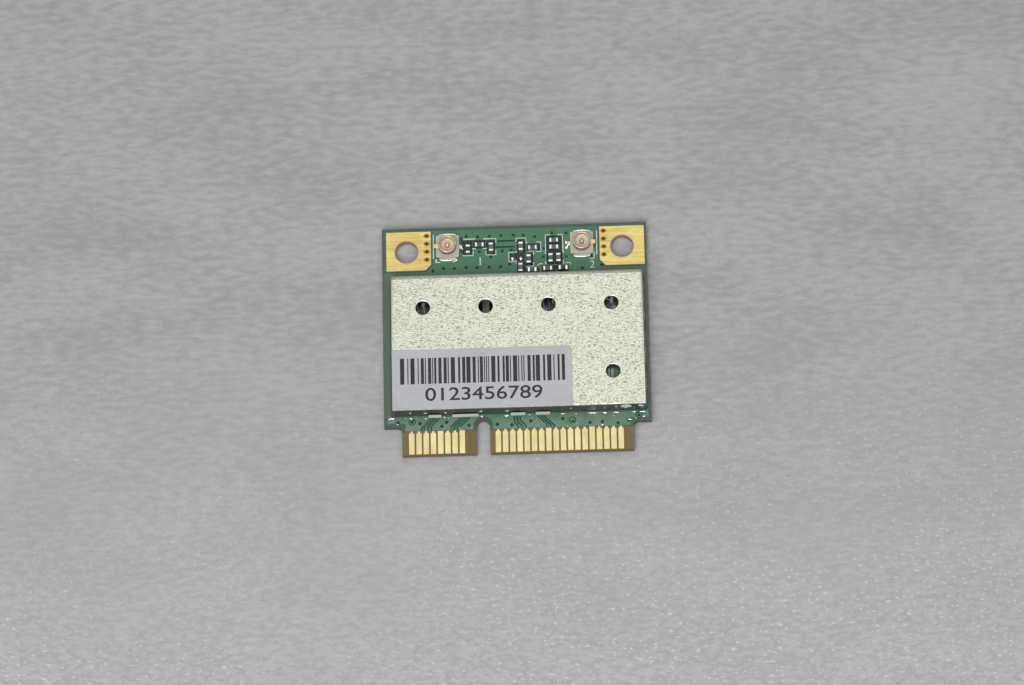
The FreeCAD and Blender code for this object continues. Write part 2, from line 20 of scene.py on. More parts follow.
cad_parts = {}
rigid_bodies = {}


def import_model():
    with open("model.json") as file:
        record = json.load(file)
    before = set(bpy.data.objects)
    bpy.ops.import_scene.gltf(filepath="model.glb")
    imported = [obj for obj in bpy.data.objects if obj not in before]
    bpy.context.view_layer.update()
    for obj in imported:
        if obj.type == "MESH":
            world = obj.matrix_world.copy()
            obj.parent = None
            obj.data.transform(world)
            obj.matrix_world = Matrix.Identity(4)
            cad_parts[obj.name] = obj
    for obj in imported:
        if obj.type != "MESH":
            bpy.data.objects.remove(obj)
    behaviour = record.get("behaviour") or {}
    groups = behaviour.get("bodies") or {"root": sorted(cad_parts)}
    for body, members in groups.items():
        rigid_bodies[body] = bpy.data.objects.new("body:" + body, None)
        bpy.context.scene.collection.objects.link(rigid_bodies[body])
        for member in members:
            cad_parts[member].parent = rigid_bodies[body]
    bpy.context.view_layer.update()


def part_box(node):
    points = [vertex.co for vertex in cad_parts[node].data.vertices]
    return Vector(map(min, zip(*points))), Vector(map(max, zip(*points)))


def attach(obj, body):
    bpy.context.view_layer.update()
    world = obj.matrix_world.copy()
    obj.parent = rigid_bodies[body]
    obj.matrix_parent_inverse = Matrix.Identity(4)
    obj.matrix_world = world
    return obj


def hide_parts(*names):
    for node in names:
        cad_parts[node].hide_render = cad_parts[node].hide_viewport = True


log = logging.getLogger("card")

MM = 0.001
BOARD_TOP = 1.0
MASK_EDGE = -10.68
KEY_X = -3.85
LID = 3.2
UP = 0.9  # least upward share of a normal that counts as looking up

Colour = tuple[float, float, float]
Point = tuple[float, float]
Patch = tuple[float, float, float, float]
Line = Sequence[Point]
Piece = bpy.types.Object
Material = bpy.types.Material


def corners(node: str) -> tuple[Vector, Vector]:
    """Lowest and highest corner of a solid, in millimetres."""
    low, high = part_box(node)
    return Vector(low) / MM, Vector(high) / MM


# Shader sums


def operator(operation: str, reflected: bool = False) -> Callable[..., Signal]:
    """Make a method that adds one Math node.

    Args:
        operation: Operation of the node.
        reflected: Whether the other value comes first.

    Returns:
        The method, which takes another value or none.
    """
    def join(this: Signal, other: Any = 0.0) -> Signal:
        """This value and another, joined by the node."""
        first, second = (other, this) if reflected else (this, other)
        return this.recipe.add("ShaderNodeMath", {"operation": operation}, {0: first, 1: second})

    return join


class Signal:
    """One output of a shader node that can stand in a sum, a product or a comparison."""

    __add__ = __radd__ = operator("ADD")
    __sub__ = operator("SUBTRACT")
    __rsub__ = operator("SUBTRACT", True)
    __mul__ = __rmul__ = operator("MULTIPLY")
    __abs__ = operator("ABSOLUTE")
    lesser = operator("MINIMUM")
    greater = operator("MAXIMUM")
    power = operator("POWER")
    fraction = operator("FRACT")

    def __init__(self, recipe: Recipe, socket: bpy.types.NodeSocket) -> None:
        self.recipe = recipe
        self.socket = socket

    def above(self, edge: float, soft: float = 0.02) -> Signal:
        """A mask that turns from 0 to 1 as the value passes an edge.

        Args:
            edge: Value at the middle of the change.
            soft: Half the width of the change.

        Returns:
            The mask.
        """
        return self.recipe.add("ShaderNodeMapRange", {"interpolation_type": "SMOOTHSTEP"},
                               {"Value": self, "From Min": edge - soft, "From Max": edge + soft})

    def below(self, edge: float, soft: float = 0.02) -> Signal:
        """A mask that turns from 1 to 0 as the value passes an edge."""
        return 1.0 - self.above(edge, soft)

    def spread(self, low: float, high: float) -> Signal:
        """A value from 0 to 1 stretched to lie between two others."""
        return self * (high - low) + low

    def hypot(self, other: Signal) -> Signal:
        """The distance that this value and another make at right angles."""
        return (self * self + other * other).power(0.5)


class Recipe:
    """A material under construction, with its surface shader and its place in millimetres."""

    def __init__(self, name: str) -> None:
        self.material = bpy.data.materials.new(name)
        self.material.use_nodes = True
        self.tree = self.material.node_tree
        self.shader = self.tree.nodes["Principled BSDF"]
        place = self.add("ShaderNodeTexCoord", output="Object")
        self.place = self.add("ShaderNodeVectorMath", {"operation": "SCALE"},
                              {0: place, "Scale": 1.0 / MM})
        self.x, self.y, self.z = self.split(self.place)

    def add(self, kind: str, settings: dict[str, Any] | None = None,
            inputs: dict[int | str, Any] | None = None, output: int | str = 0) -> Signal:
        """Add one node.

        Args:
            kind: Type name of the node.
            settings: Properties that are set before its sockets.
            inputs: Values or links by socket name or number.
            output: The output that is wanted.

        Returns:
            That output.
        """
        node = self.tree.nodes.new(kind)
        for key, value in (settings or {}).items():
            setattr(node, key, value)
        for key, value in (inputs or {}).items():
            self.feed(node.inputs[key], value)
        return Signal(self, node.outputs[output])

    def feed(self, socket: bpy.types.NodeSocket, value: Any) -> None:
        """Link a signal to a socket, or set a plain value on it."""
        if isinstance(value, Signal):
            self.tree.links.new(value.socket, socket)
        elif isinstance(value, tuple) and len(value) == 3 and socket.type == "RGBA":
            socket.default_value = (*value, 1.0)
        else:
            socket.default_value = value

    def split(self, vector: Signal) -> tuple[Signal, Signal, Signal]:
        """The three parts of a vector."""
        first = self.add("ShaderNodeSeparateXYZ", inputs={0: vector})
        sockets = first.socket.node.outputs
        return first, Signal(self, sockets[1]), Signal(self, sockets[2])

    def facing_up(self) -> Signal:
        """A mask of the faces that look up or down."""
        normal = self.add("ShaderNodeNewGeometry", output="True Normal")
        return abs(self.split(normal)[2]).above(0.5, 0.1)

    def noise(self, scale: float, detail: float = 2.0, stretch: Colour = (1.0, 1.0, 1.0),
              distortion: float = 0.0, shift: float = 0.0) -> Signal:
        """Cloudy noise.

        Args:
            scale: Clouds per millimetre.
            detail: How many finer layers it has.
            stretch: Scale along each axis.
            distortion: How far the clouds are pulled about.
            shift: Moves the pattern so that two finishes differ.

        Returns:
            The noise, from 0 to 1.
        """
        where = self.add("ShaderNodeMapping", inputs={
            "Vector": self.place, "Location": (shift, -shift, shift), "Scale": stretch})
        return self.add("ShaderNodeTexNoise", inputs={
            "Vector": where, "Scale": scale, "Detail": detail, "Distortion": distortion})

    def blend(self, mask: Any, first: Any, second: Any) -> Signal:
        """The first colour where the mask is 0 and the second where it is 1."""
        return self.add("ShaderNodeMix", {"data_type": "RGBA"},
                        {0: mask, 6: first, 7: second}, output=2)

    def layers(self, base: Any, *coats: tuple[Any, Any]) -> Signal:
        """Lay coats of colour over a base.

        Args:
            base: The colour below.
            *coats: A mask and a colour for each coat, from the lowest up.

        Returns:
            The colour on top.
        """
        for mask, colour in coats:
            base = self.blend(mask, base, colour)
        return base

    def bump(self, height: Signal, depth: float, strength: float = 1.0) -> Signal:
        """A relief that is as deep as given in millimetres where the height goes from 0 to 1."""
        return self.add("ShaderNodeBump", inputs={
            "Height": height, "Distance": depth * MM, "Strength": strength})

    def finish(self, **sockets: Any) -> Material:
        """The material, once sockets named with _ for each blank are set on its shader."""
        for name, value in sockets.items():
            self.feed(self.shader.inputs[name.replace("_", " ")], value)
        return self.material


# Finishes


@dataclass(frozen=True)
class MaskFinish:
    """Glossy green mask over copper and glass cloth, with bare cloth on tongue and rim, painted
    light in front of the shield and painted shade at its foot and under its lid.
    """

    pour: Colour = (0.04, 0.166, 0.08)
    cloudy: Colour = (0.055, 0.19, 0.098)
    strip: Colour = (0.15, 0.24, 0.175)
    brink: Colour = (0.055, 0.06, 0.03)
    bare: Colour = (0.045, 0.09, 0.06)
    side: Colour = (0.08, 0.112, 0.084)
    shade: Colour = (0.01, 0.028, 0.022)
    covered: Colour = (0.004, 0.012, 0.009)
    cloth: Colour = (0.15, 0.104, 0.013)
    amber: Colour = (0.205, 0.118, 0.024)
    margin: Colour = (0.135, 0.125, 0.075)
    thread: Colour = (0.09, 0.07, 0.022)
    rim: Colour = (0.155, 0.13, 0.078)
    pale_rim: Colour = (0.23, 0.195, 0.12)
    copper: Colour = (0.15, 0.08, 0.03)
    step: Colour = (0.09, 0.112, 0.088)
    rim_width: float = 0.36
    key_end: float = -10.15
    key_radius: float = 0.75
    step_y: float = -10.0
    tongue_x: float = 12.85

    def build(self) -> Material:
        """Mix the mask."""
        r = Recipe("solder_mask")
        (_, high), (near, far) = corners("circuit_board"), corners("shield_can")
        flat, upper = r.facing_up(), r.z.above(0.5, 0.1)
        notch = abs(r.x - KEY_X).hypot((r.y - self.key_end).greater(0.0)) - self.key_radius
        step = (r.y - self.step_y).greater(self.tongue_x - abs(r.x))
        rim = (high.x - abs(r.x)).lesser(high.y - r.y).lesser(notch).lesser(step)
        patchy = r.noise(0.55, 3.0, shift=3.0).above(0.46, 0.16)
        sides = abs(r.x).above(13.7, 0.2) * r.y.below(7.6, 0.3) * r.y.above(-8.8, 0.2)
        sides = sides.greater(abs(r.x).above(9.6, 0.4) * r.y.below(8.0, 0.1) * r.y.above(6.5, 0.1))
        wide = abs(r.x - (near.x + far.x) / 2) - (far.x - near.x) / 2
        outside = wide.greater(r.y - far.y).greater(near.y - r.y)
        green = r.layers(
            self.pour,
            (r.noise(0.22, 3.0).above(0.5, 0.25) * 0.45, self.cloudy),
            # painted light: a lighter, greyer green on the strip in front of the shield, partly a
            # copper pour
            (r.y.below(-8.9, 0.2) * upper * patchy.spread(0.35, 0.95), self.strip),
            (r.y.below(MASK_EDGE + 0.17, 0.05) * 0.6, self.brink),
            (r.noise(2.6, 3.0, distortion=0.4).above(0.66, 0.1) * 0.35, self.bare),
            (rim.below(self.rim_width, 0.03), self.bare),
            (sides * upper * patchy.spread(0.95, 0.6), self.side),
            # painted shade in a thin ring round the shield's foot
            (outside.below(0.2, 0.04) * r.y.above(near.y, 0.05) * upper * 0.75, self.shade),
            # painted shade on the board under the shield's lid
            (outside.below(0.0, 0.02) * upper * 0.6, self.covered))
        bands = [r.add("ShaderNodeTexWave", {"bands_direction": axis},
                       {"Vector": r.place, "Scale": 0.62, "Distortion": 0.6}) for axis in "XY"]
        weave = bands[0] * bands[1]
        tongue = r.layers(
            self.cloth,
            (r.noise(0.5, 4.0, (1.0, 0.25, 1.0)).above(0.5, 0.16), self.amber),
            (abs(r.x + 0.08).above(12.35, 0.25) * 0.6, self.margin),
            (weave * 0.3, self.thread))
        edge = r.layers(
            self.rim,
            (r.noise(3.0, 4.0, (0.3, 0.3, 3.0)), self.pale_rim),
            (abs(abs(r.z - 0.5) - 0.22).below(0.03, 0.015) * 0.7, self.copper),
            (r.y.below(-9.85, 0.05) * r.y.above(-10.5, 0.05) * 0.7, self.step))
        face = r.blend(r.y.above(MASK_EDGE, 0.03), tongue, green)
        rough = r.noise(1.2, 2.0).spread(0.24, 0.36) + (1.0 - flat) * 0.3
        relief = weave * 0.25 + r.noise(1.1, 3.0) * 0.75
        return r.finish(Base_Color=r.blend(flat, edge, face), Roughness=rough,
                        Normal=r.bump(relief, 0.012, 0.5))


@dataclass(frozen=True)
class CoatFinish:
    """A thin coat over the board, such as mask over a track, printed legend or label ink."""

    name: str
    colour: Colour
    worn: Colour
    roughness: float = 0.5
    wear: float = 0.3
    gloss: float = 0.5

    def build(self) -> Material:
        """Mix the coat."""
        r = Recipe(self.name)
        grain = r.noise(5.0, 4.0)
        colour = r.blend(grain.above(0.56, 0.12) * self.wear, self.colour, self.worn)
        rough = grain.spread(self.roughness - 0.08, self.roughness + 0.12)
        return r.finish(Base_Color=colour, Roughness=rough, Specular_IOR_Level=self.gloss,
                        Normal=r.bump(grain, 0.008, 0.5))


@dataclass(frozen=True)
class PlatedFinish:
    """Plated metal with long fine scratches, clouded tarnish and a dimpled surface."""

    name: str
    bright: Colour
    dull: Colour
    roughness: float = 0.28
    grain: Colour = (6.0, 0.25, 1.0)
    dimple: float = 0.006

    def build(self) -> Material:
        """Mix the plating."""
        r = Recipe(self.name)
        scratch = r.noise(1.6, 3.0, self.grain)
        clouds = r.noise(0.7, 3.0, shift=4.0)
        spots = r.noise(4.5, 2.0, shift=9.0).above(0.66, 0.05)
        mask = clouds.above(0.5, 0.25) * 0.35 + scratch.above(0.6, 0.1) * 0.25 + spots * 0.3
        rough = (scratch.spread(-0.08, 0.12) + clouds * 0.12 + self.roughness).lesser(0.9)
        return r.finish(Base_Color=r.blend(mask.lesser(1.0), self.bright, self.dull),
                        Metallic=1.0, Roughness=rough,
                        Normal=r.bump(scratch * 0.6 + clouds * 0.4, self.dimple))


@dataclass(frozen=True)
class CrinkledFinish:
    """Tinned sheet whose lid is finely crinkled, with shade painted in its crinkles, on its walls,
    front roll and back bend, and light painted on its side bends.
    """

    ridge: Colour = (0.655, 0.68, 0.55)
    valley: Colour = (0.565, 0.58, 0.465)
    pit: Colour = (0.28, 0.28, 0.22)
    wall: Colour = (0.17, 0.17, 0.19)
    bend: Colour = (0.29, 0.32, 0.265)
    side: Colour = (0.64, 0.66, 0.56)
    lip: Colour = (0.5, 0.53, 0.44)
    band: float = 0.46
    roll: float = 0.25

    def build(self) -> Material:
        """Mix the tinned sheet."""
        r = Recipe("tinned_sheet")
        low, high = corners("shield_can")
        flat = r.facing_up()
        crinkle = (r.noise(2.3, 2.0, (0.8, 1.25, 1.0), 0.8) * 0.35
                   + r.noise(5.4, 3.0, (0.75, 1.35, 1.0), 0.6, 3.0) * 0.65)
        pits = (r.noise(5.2, 2.0, (0.66, 1.45, 1.0), 0.8, 7.0).below(0.395, 0.04)
                * r.noise(0.9, 1.0, shift=2.0).above(0.36, 0.12))
        # painted shade: a darker, less metallic band along the back bend
        band = r.y.above(high.y - self.band, 0.05)
        # painted light: the side bends in a paler, less metallic tin
        rolled = abs(r.x - (low.x + high.x) / 2).above((high.x - low.x) / 2 - self.roll, 0.04)
        # painted shade: the front roll darker and less metallic in patches, so that only specks of
        # it shine
        lip = (r.y.below(low.y + self.roll, 0.04)
               * r.noise(0.9, 2.0, (1.0, 0.3, 1.0), shift=4.0).above(0.4, 0.12))
        clouds = r.noise(0.16, 2.0, shift=8.0)
        # painted shade: the walls much darker than the lid
        colour = r.layers(
            # painted shade: the crinkle's valleys darker, mixed with a cloudy tone, and its pits
            # darker still
            self.ridge, (crinkle.below(0.49, 0.13) * 0.8 + clouds * 0.15, self.valley),
            (pits * 0.55, self.pit), (rolled * 0.7, self.side), (band * 0.85, self.bend),
            (lip * 0.75, self.lip), (1.0 - flat, self.wall))
        metal = 1.0 - band.greater(rolled).greater(lip) * flat * 0.8
        relief = (crinkle - pits * 0.3) * (flat * 0.8 + 0.2)
        return r.finish(Base_Color=colour, Metallic=metal, Normal=r.bump(relief, 0.037),
                        Roughness=crinkle.spread(0.38, 0.28) + pits * 0.2)


@dataclass(frozen=True)
class PadFinish:
    """Soft gold of the grounds, with fine streaks and brown halos round their small holes."""

    bright: Colour = (0.715, 0.59, 0.228)
    dull: Colour = (0.56, 0.42, 0.12)
    halo: Colour = (0.26, 0.14, 0.04)
    lip: Colour = (0.55, 0.37, 0.24)
    hole: Point = (12.1, 10.5)
    lip_radius: float = 1.43
    columns: Point = (-9.82, 10.05)
    first_row: float = 9.57
    pitch: float = 0.94

    def build(self) -> Material:
        """Mix the gold."""
        r = Recipe("pad_gold")
        streak = r.noise(1.4, 3.0, (0.3, 4.0, 1.0))
        clouds = r.noise(0.5, 3.0, shift=4.0)
        spots = r.noise(4.0, 2.0, shift=9.0).above(0.66, 0.05)
        mask = clouds.above(0.5, 0.2) * 0.35 + streak.above(0.52, 0.1) * 0.5 + spots * 0.4
        across = abs(r.x - self.columns[0]).lesser(abs(r.x - self.columns[1]))
        row = (r.y - (self.first_row - self.pitch / 2)) * (1.0 / self.pitch)
        along = (row.fraction() - 0.5) * self.pitch
        away = (across * across * 0.6 + along * along).power(0.5)
        rows = r.y.above(self.first_row - 0.4, 0.02)
        rim = (abs(r.x) - self.hole[0]).hypot(r.y - self.hole[1])
        colour = r.layers(self.bright, (mask.lesser(1.0), self.dull),
                          (away.below(0.27, 0.07) * rows * 0.9, self.halo),
                          (rim.below(self.lip_radius, 0.03) * 0.9, self.lip))
        return r.finish(Base_Color=colour, Metallic=1.0,
                        Roughness=streak.spread(0.26, 0.42) + clouds * 0.12,
                        Normal=r.bump(streak * 0.5 + clouds * 0.5, 0.006))


@dataclass(frozen=True)
class FilmFinish:
    """Matt printed film with a fine tooth and faint smudges."""

    colour: Colour = (0.52, 0.528, 0.542)
    smudge: Colour = (0.445, 0.45, 0.465)

    def build(self) -> Material:
        """Mix the film."""
        r = Recipe("label_film")
        tooth = r.noise(9.0, 3.0)
        smudge = r.noise(0.35, 4.0, (1.0, 2.0, 1.0), 0.3).above(0.56, 0.14)
        relief = tooth * 0.35 + r.noise(0.28, 2.0, shift=5.0) * 0.65
        return r.finish(
            Base_Color=r.blend(smudge * 0.45 + tooth * 0.12, self.colour, self.smudge),
            Roughness=tooth.spread(0.42, 0.62), Normal=r.bump(relief, 0.03, 0.5))


@dataclass(frozen=True)
class MouldedFinish:
    """Moulded or fired body with flecks of filler and a slightly uneven gloss."""

    name: str
    colour: Colour
    fleck: Colour
    roughness: float = 0.5
    amount: float = 0.4

    def build(self) -> Material:
        """Mix the body."""
        r = Recipe(self.name)
        fleck = r.noise(11.0, 2.0).above(0.6, 0.06)
        clouds = r.noise(1.8, 3.0, shift=6.0)
        mask = (fleck * self.amount + clouds * 0.2).lesser(1.0)
        return r.finish(Base_Color=r.blend(mask, self.colour, self.fleck),
                        Roughness=clouds.spread(self.roughness - 0.1, self.roughness + 0.1),
                        Normal=r.bump(fleck * 0.4 + clouds * 0.6, 0.012, 0.6))


@dataclass(frozen=True)
class PatchedFinish:
    """Black compound with paler patches painted on as glints, as it shows through the vents."""

    colour: Colour = (0.01, 0.012, 0.012)
    mark: Colour = (0.34, 0.39, 0.36)

    def build(self) -> Material:
        """Mix the compound."""
        r = Recipe("mould_compound")
        # painted highlight: pale patches for the glints seen through the vents
        patch = r.noise(1.5, 2.0, (1.4, 0.7, 1.0), 0.8, 3.0).above(0.58, 0.03)
        fleck = r.noise(11.0, 2.0)
        return r.finish(Base_Color=r.blend(patch * fleck.spread(0.4, 1.0), self.colour, self.mark),
                        Roughness=fleck.spread(0.22, 0.42), Normal=r.bump(fleck, 0.01, 0.6))


@dataclass(frozen=True)
class TableFinish:
    """Plain pale table top with a faint grain, and light painted on it so that it is a little
    lighter towards the front.
    """

    colour: Colour = (0.462, 0.454, 0.456)
    grain: Colour = (0.355, 0.346, 0.352)
    front: Colour = (0.542, 0.533, 0.535)
    speck: Colour = (0.68, 0.67, 0.672)

    def build(self) -> Material:
        """Mix the table top."""
        r = Recipe("table_top")
        cloud = r.noise(0.05, 3.0, (1.0, 2.5, 1.0))
        grain = r.noise(1.0, 3.0, (0.6, 1.6, 1.0))
        specks = (r.noise(2.2, 2.0, (0.8, 1.2, 1.0), shift=5.0).above(0.648, 0.05)
                  * r.noise(0.045, 1.0, (1.0, 1.6, 1.0), shift=6.0).above(0.44, 0.14))
        mottle = r.noise(1.7, 2.0, (0.7, 1.3, 1.0), shift=9.0).above(0.52, 0.1)
        # painted light: the front of the table lighter
        near = r.y.below(-18.0, 28.0)
        colour = r.layers(
            self.colour, ((cloud * 0.4 + grain * 0.6).above(0.5, 0.16), self.grain),
            (near * 0.65, self.front), (mottle * near * 0.45, self.grain),
            (specks * near.spread(0.12, 0.95), self.speck))
        return r.finish(Base_Color=colour, Roughness=0.6, Normal=r.bump(grain, 0.03, 0.4))


EVEN = (1.0, 1.0, 1.0)
UPRIGHT = (1.0, 1.0, 6.0)
FINISHES: dict[str, Any] = {
    "mask": MaskFinish(),
    "gap": CoatFinish("bare_gap", (0.008, 0.062, 0.036), (0.006, 0.034, 0.022), 0.4, 0.3, 0.2),
    "olive": CoatFinish("pad_rim", (0.1, 0.135, 0.05), (0.05, 0.085, 0.035), 0.4, 0.3, 0.3),
    "patch": CoatFinish("bare_patch", (0.01, 0.017, 0.015), (0.085, 0.125, 0.105), 0.35, 0.75,
                        0.25),
    "bar": CoatFinish("bar_ink", (0.7, 0.73, 0.69), (0.52, 0.56, 0.51)),
    "track": CoatFinish("masked_track", (0.085, 0.235, 0.145), (0.045, 0.16, 0.085), 0.28),
    "via": CoatFinish("via_well", (0.018, 0.08, 0.042), (0.006, 0.03, 0.016), 0.5, 0.4, 0.15),
    "legend": CoatFinish("legend_ink", (0.62, 0.78, 0.67), (0.36, 0.54, 0.42), 0.55, 0.4),
    "print": CoatFinish("label_ink", (0.018, 0.019, 0.022), (0.07, 0.07, 0.075), 0.55),
    # painted highlight: white for the glints on the shield's front wall
    "smear": CoatFinish("tin_smear", (0.9, 0.9, 0.91), (0.5, 0.51, 0.52), 0.3, 0.5),
    "tin_mark": CoatFinish("core_mark", (0.27, 0.3, 0.29), (0.18, 0.2, 0.195), 0.4, 0.5),
    "enamel": CoatFinish("core_enamel", (0.045, 0.1, 0.07), (0.08, 0.15, 0.105), 0.35, 0.5),
    "pad": PadFinish(),
    "barrel": PlatedFinish("barrel", (0.62, 0.42, 0.3), (0.4, 0.25, 0.17), 0.38),
    "contact": PlatedFinish("gold", (0.75, 0.635, 0.348), (0.56, 0.445, 0.19), 0.3,
                            (4.0, 0.15, 1.0)),
    "ring": PlatedFinish("socket_ring", (0.8, 0.7, 0.55), (0.58, 0.47, 0.34), 0.36, UPRIGHT,
                         0.012),
    # painted shade: darker gold for the socket ring's groove
    "groove": PlatedFinish("socket_groove", (0.3, 0.22, 0.13), (0.16, 0.11, 0.06), 0.4, UPRIGHT,
                           0.012),
    "ear": PlatedFinish("socket_gold", (0.74, 0.58, 0.28), (0.5, 0.34, 0.12), 0.3, UPRIGHT),
    "foot": PlatedFinish("socket_foot", (0.66, 0.63, 0.5), (0.4, 0.38, 0.3), 0.32, UPRIGHT,
                         0.02),
    # painted light and shade: one gold for both pins, brighter on the first socket and darker on
    # the second
    "pin_1": PlatedFinish("pin_gold", (0.9, 0.55, 0.16), (0.55, 0.27, 0.07), 0.18,
                          (1.0, 1.0, 3.0)),
    "pin_2": PlatedFinish("pin_dull", (0.5, 0.43, 0.28), (0.26, 0.21, 0.12), 0.26,
                          (1.0, 1.0, 3.0)),
    "solder": PlatedFinish("solder", (0.86, 0.86, 0.83), (0.6, 0.6, 0.58), 0.16, EVEN, 0.03),
    "seam": PlatedFinish("seam_solder", (0.44, 0.46, 0.44), (0.17, 0.19, 0.18), 0.26, EVEN, 0.05),
    # painted highlight: bright tin for the glint on the chip ends
    "cap": PlatedFinish("tinned_end", (0.9, 0.91, 0.89), (0.5, 0.52, 0.51), 0.22, EVEN, 0.02),
    # painted highlight: brighter tin for the rolled vent mouths
    "lip": PlatedFinish("vent_lip", (0.9, 0.9, 0.86), (0.55, 0.55, 0.5), 0.16, EVEN, 0.02),
    "crystal": PlatedFinish("crystal_case", (0.76, 0.73, 0.62), (0.45, 0.42, 0.34), 0.3),
    "sheet": CrinkledFinish(),
    "film": FilmFinish(),
    "moulding": MouldedFinish("socket_moulding", (0.475, 0.465, 0.385), (0.6, 0.56, 0.5), 0.42),
    # painted light: the floor inside the ring paler and pinker than the moulding
    "floor": MouldedFinish("socket_floor", (0.62, 0.53, 0.44), (0.72, 0.62, 0.52), 0.42),
    "compound": PatchedFinish(),
    "white": MouldedFinish("white_ceramic", (0.6, 0.6, 0.56), (0.42, 0.42, 0.4), 0.35),
    "ferrite": MouldedFinish("ferrite", (0.035, 0.035, 0.038), (0.09, 0.09, 0.09), 0.35),
    "capacitor": MouldedFinish("chip_capacitor", (0.105, 0.115, 0.108), (0.2, 0.215, 0.205),
                               0.36),
    "inductor": MouldedFinish("chip_inductor", (0.06, 0.078, 0.076), (0.15, 0.18, 0.18), 0.3),
    "resistor": MouldedFinish("chip_resistor", (0.012, 0.014, 0.014), (0.05, 0.055, 0.055), 0.25),
    "table": TableFinish(),
}


class Shop:
    """Builds each finish once and hands it out by name."""

    def __init__(self) -> None:
        self.stock = {name: finish.build() for name, finish in FINISHES.items()}

    def __getattr__(self, name: str) -> Material:
        """The finish of that name."""
        return self.stock[name]


# Bench tools


def only(*pieces: Piece) -> None:
    """Select just these pieces, with the first one active."""
    bpy.ops.object.select_all(action="DESELECT")
    for piece in pieces:
        piece.select_set(True)
    bpy.context.view_layer.objects.active = pieces[0]


@contextmanager
def chosen(piece: Piece, test: Callable[[Any], bool] | None = None,
           kind: str = "faces") -> Iterator[None]:
    """Work in edit mode on some elements of a piece.

    Args:
        piece: The piece.
        test: Says which elements are wanted. Without it all are.
        kind: The elements it looks at, which are verts, edges or faces.
    """
    only(piece)
    bpy.ops.object.mode_set(mode="EDIT")
    bpy.ops.mesh.select_mode(type=kind[:4].upper())
    bpy.ops.mesh.select_all(action="DESELECT" if test else "SELECT")
    if test:
        pick(piece, test, kind)
    yield
    bpy.ops.object.mode_set(mode="OBJECT")


def pick(piece: Piece, test: Callable[[Any], bool], kind: str = "faces") -> None:
    """Select by place or normal in edit mode.

    Args:
        piece: The piece under work.
        test: Says which elements are wanted.
        kind: The elements it looks at, which are verts, edges or faces.
    """
    mesh = bmesh.from_edit_mesh(piece.data)
    for element in getattr(mesh, kind):
        element.select_set(False)
    for element in getattr(mesh, kind):
        if test(element):
            element.select_set(True)
    bmesh.update_edit_mesh(piece.data)


def fresh() -> Piece:
    """The primitive just added, with its place and size put in its mesh."""
    bpy.ops.object.transform_apply(location=True, rotation=True, scale=True)
    return bpy.context.object


def box(centre: Sequence[float], size: Sequence[float]) -> Piece:
    """A box to start from, with this middle and these full lengths."""
    bpy.ops.mesh.primitive_cube_add(size=1.0, location=centre)
    bpy.context.object.scale = size
    return fresh()


def added(name: str, data: Any) -> Piece:
    """Put an object with this data in the scene."""
    piece = bpy.data.objects.new(name, data)
    bpy.context.scene.collection.objects.link(piece)
    return piece


def smooth(piece: Piece, angle: float) -> Piece:
    """Smooth the shading of a piece across edges up to this angle in degrees."""
    only(piece)
    bpy.ops.object.shade_smooth_by_angle(angle=math.radians(angle))
    return piece


def modified(piece: Piece, kind: str, **settings: Any) -> Piece:
    """Apply one modifier with these settings to a piece."""
    only(piece)
    modifier = piece.modifiers.new(kind, kind)
    for key, value in settings.items():
        setattr(modifier, key, value)
    bpy.ops.object.modifier_apply(modifier=modifier.name)
    return piece


def cylinder(sides: int, radius: float, foot: float, depth: float) -> Piece:
    """An upright cylinder to start from.

    Args:
        sides: Flat faces round it.
        radius: Its radius.
        foot: Height of its lower end.
        depth: Its length.

    Returns:
        The cylinder.
    """
    bpy.ops.mesh.primitive_cylinder_add(vertices=sides, radius=radius, depth=depth,
                                        end_fill_type="NGON",
                                        location=(0.0, 0.0, foot + depth / 2))
    return fresh()


def soften(piece: Piece, width: float, segments: int = 2, angle: float = 35.0) -> Piece:
    """Round the sharp edges of a piece and smooth its shading, with its flat faces kept flat.

    Args:
        piece: The piece.
        width: Width of the rounding.
        segments: Steps across it.
        angle: Edges sharper than this are rounded, in degrees.

    Returns:
        The same piece.
    """
    modified(piece, "BEVEL", width=width, segments=segments, limit_method="ANGLE",
             angle_limit=math.radians(angle))
    return modified(smooth(piece, angle), "WEIGHTED_NORMAL", keep_sharp=True, weight=100)


def round_corners(piece: Piece, offset: float, segments: int = 2) -> None:
    """Round the upright edges of a box.

    Args:
        piece: The box.
        offset: Width of the rounding.
        segments: Steps across it.
    """
    with chosen(piece, lambda e: abs(e.verts[0].co.z - e.verts[1].co.z) > MM, "edges"):
        bpy.ops.mesh.bevel(offset=offset, segments=segments)


def dress(piece: Piece, *materials: Material) -> Piece:
    """Give a piece its materials in order."""
    piece.data.materials.clear()
    for material in materials:
        piece.data.materials.append(material)
    return piece


def paint(piece: Piece, index: int, test: Callable[[Vector, Vector], bool]) -> None:
    """Give some faces another material.

    Args:
        piece: The piece.
        index: Number of the material.
        test: Picks faces by their middle and normal.
    """
    for face in piece.data.polygons:
        if test(face.center, face.normal):
            face.material_index = index


def merge(pieces: Sequence[Piece]) -> Piece:
    """Join pieces into the first of them."""
    only(*pieces)
    if len(pieces) > 1:
        bpy.ops.object.join()
    return pieces[0]


def twin(piece: Piece, move: Sequence[float], turn: float = 0.0) -> Piece:
    """A copy with its own mesh.

    Args:
        piece: The model.
        move: Where the copy goes.
        turn: Its turn about Z in degrees, before the move.

    Returns:
        The copy.
    """
    copy = added(piece.name, piece.data.copy())
    copy.data.transform(Matrix.Translation(move) @ Matrix.Rotation(math.radians(turn), 4, "Z"))
    return copy


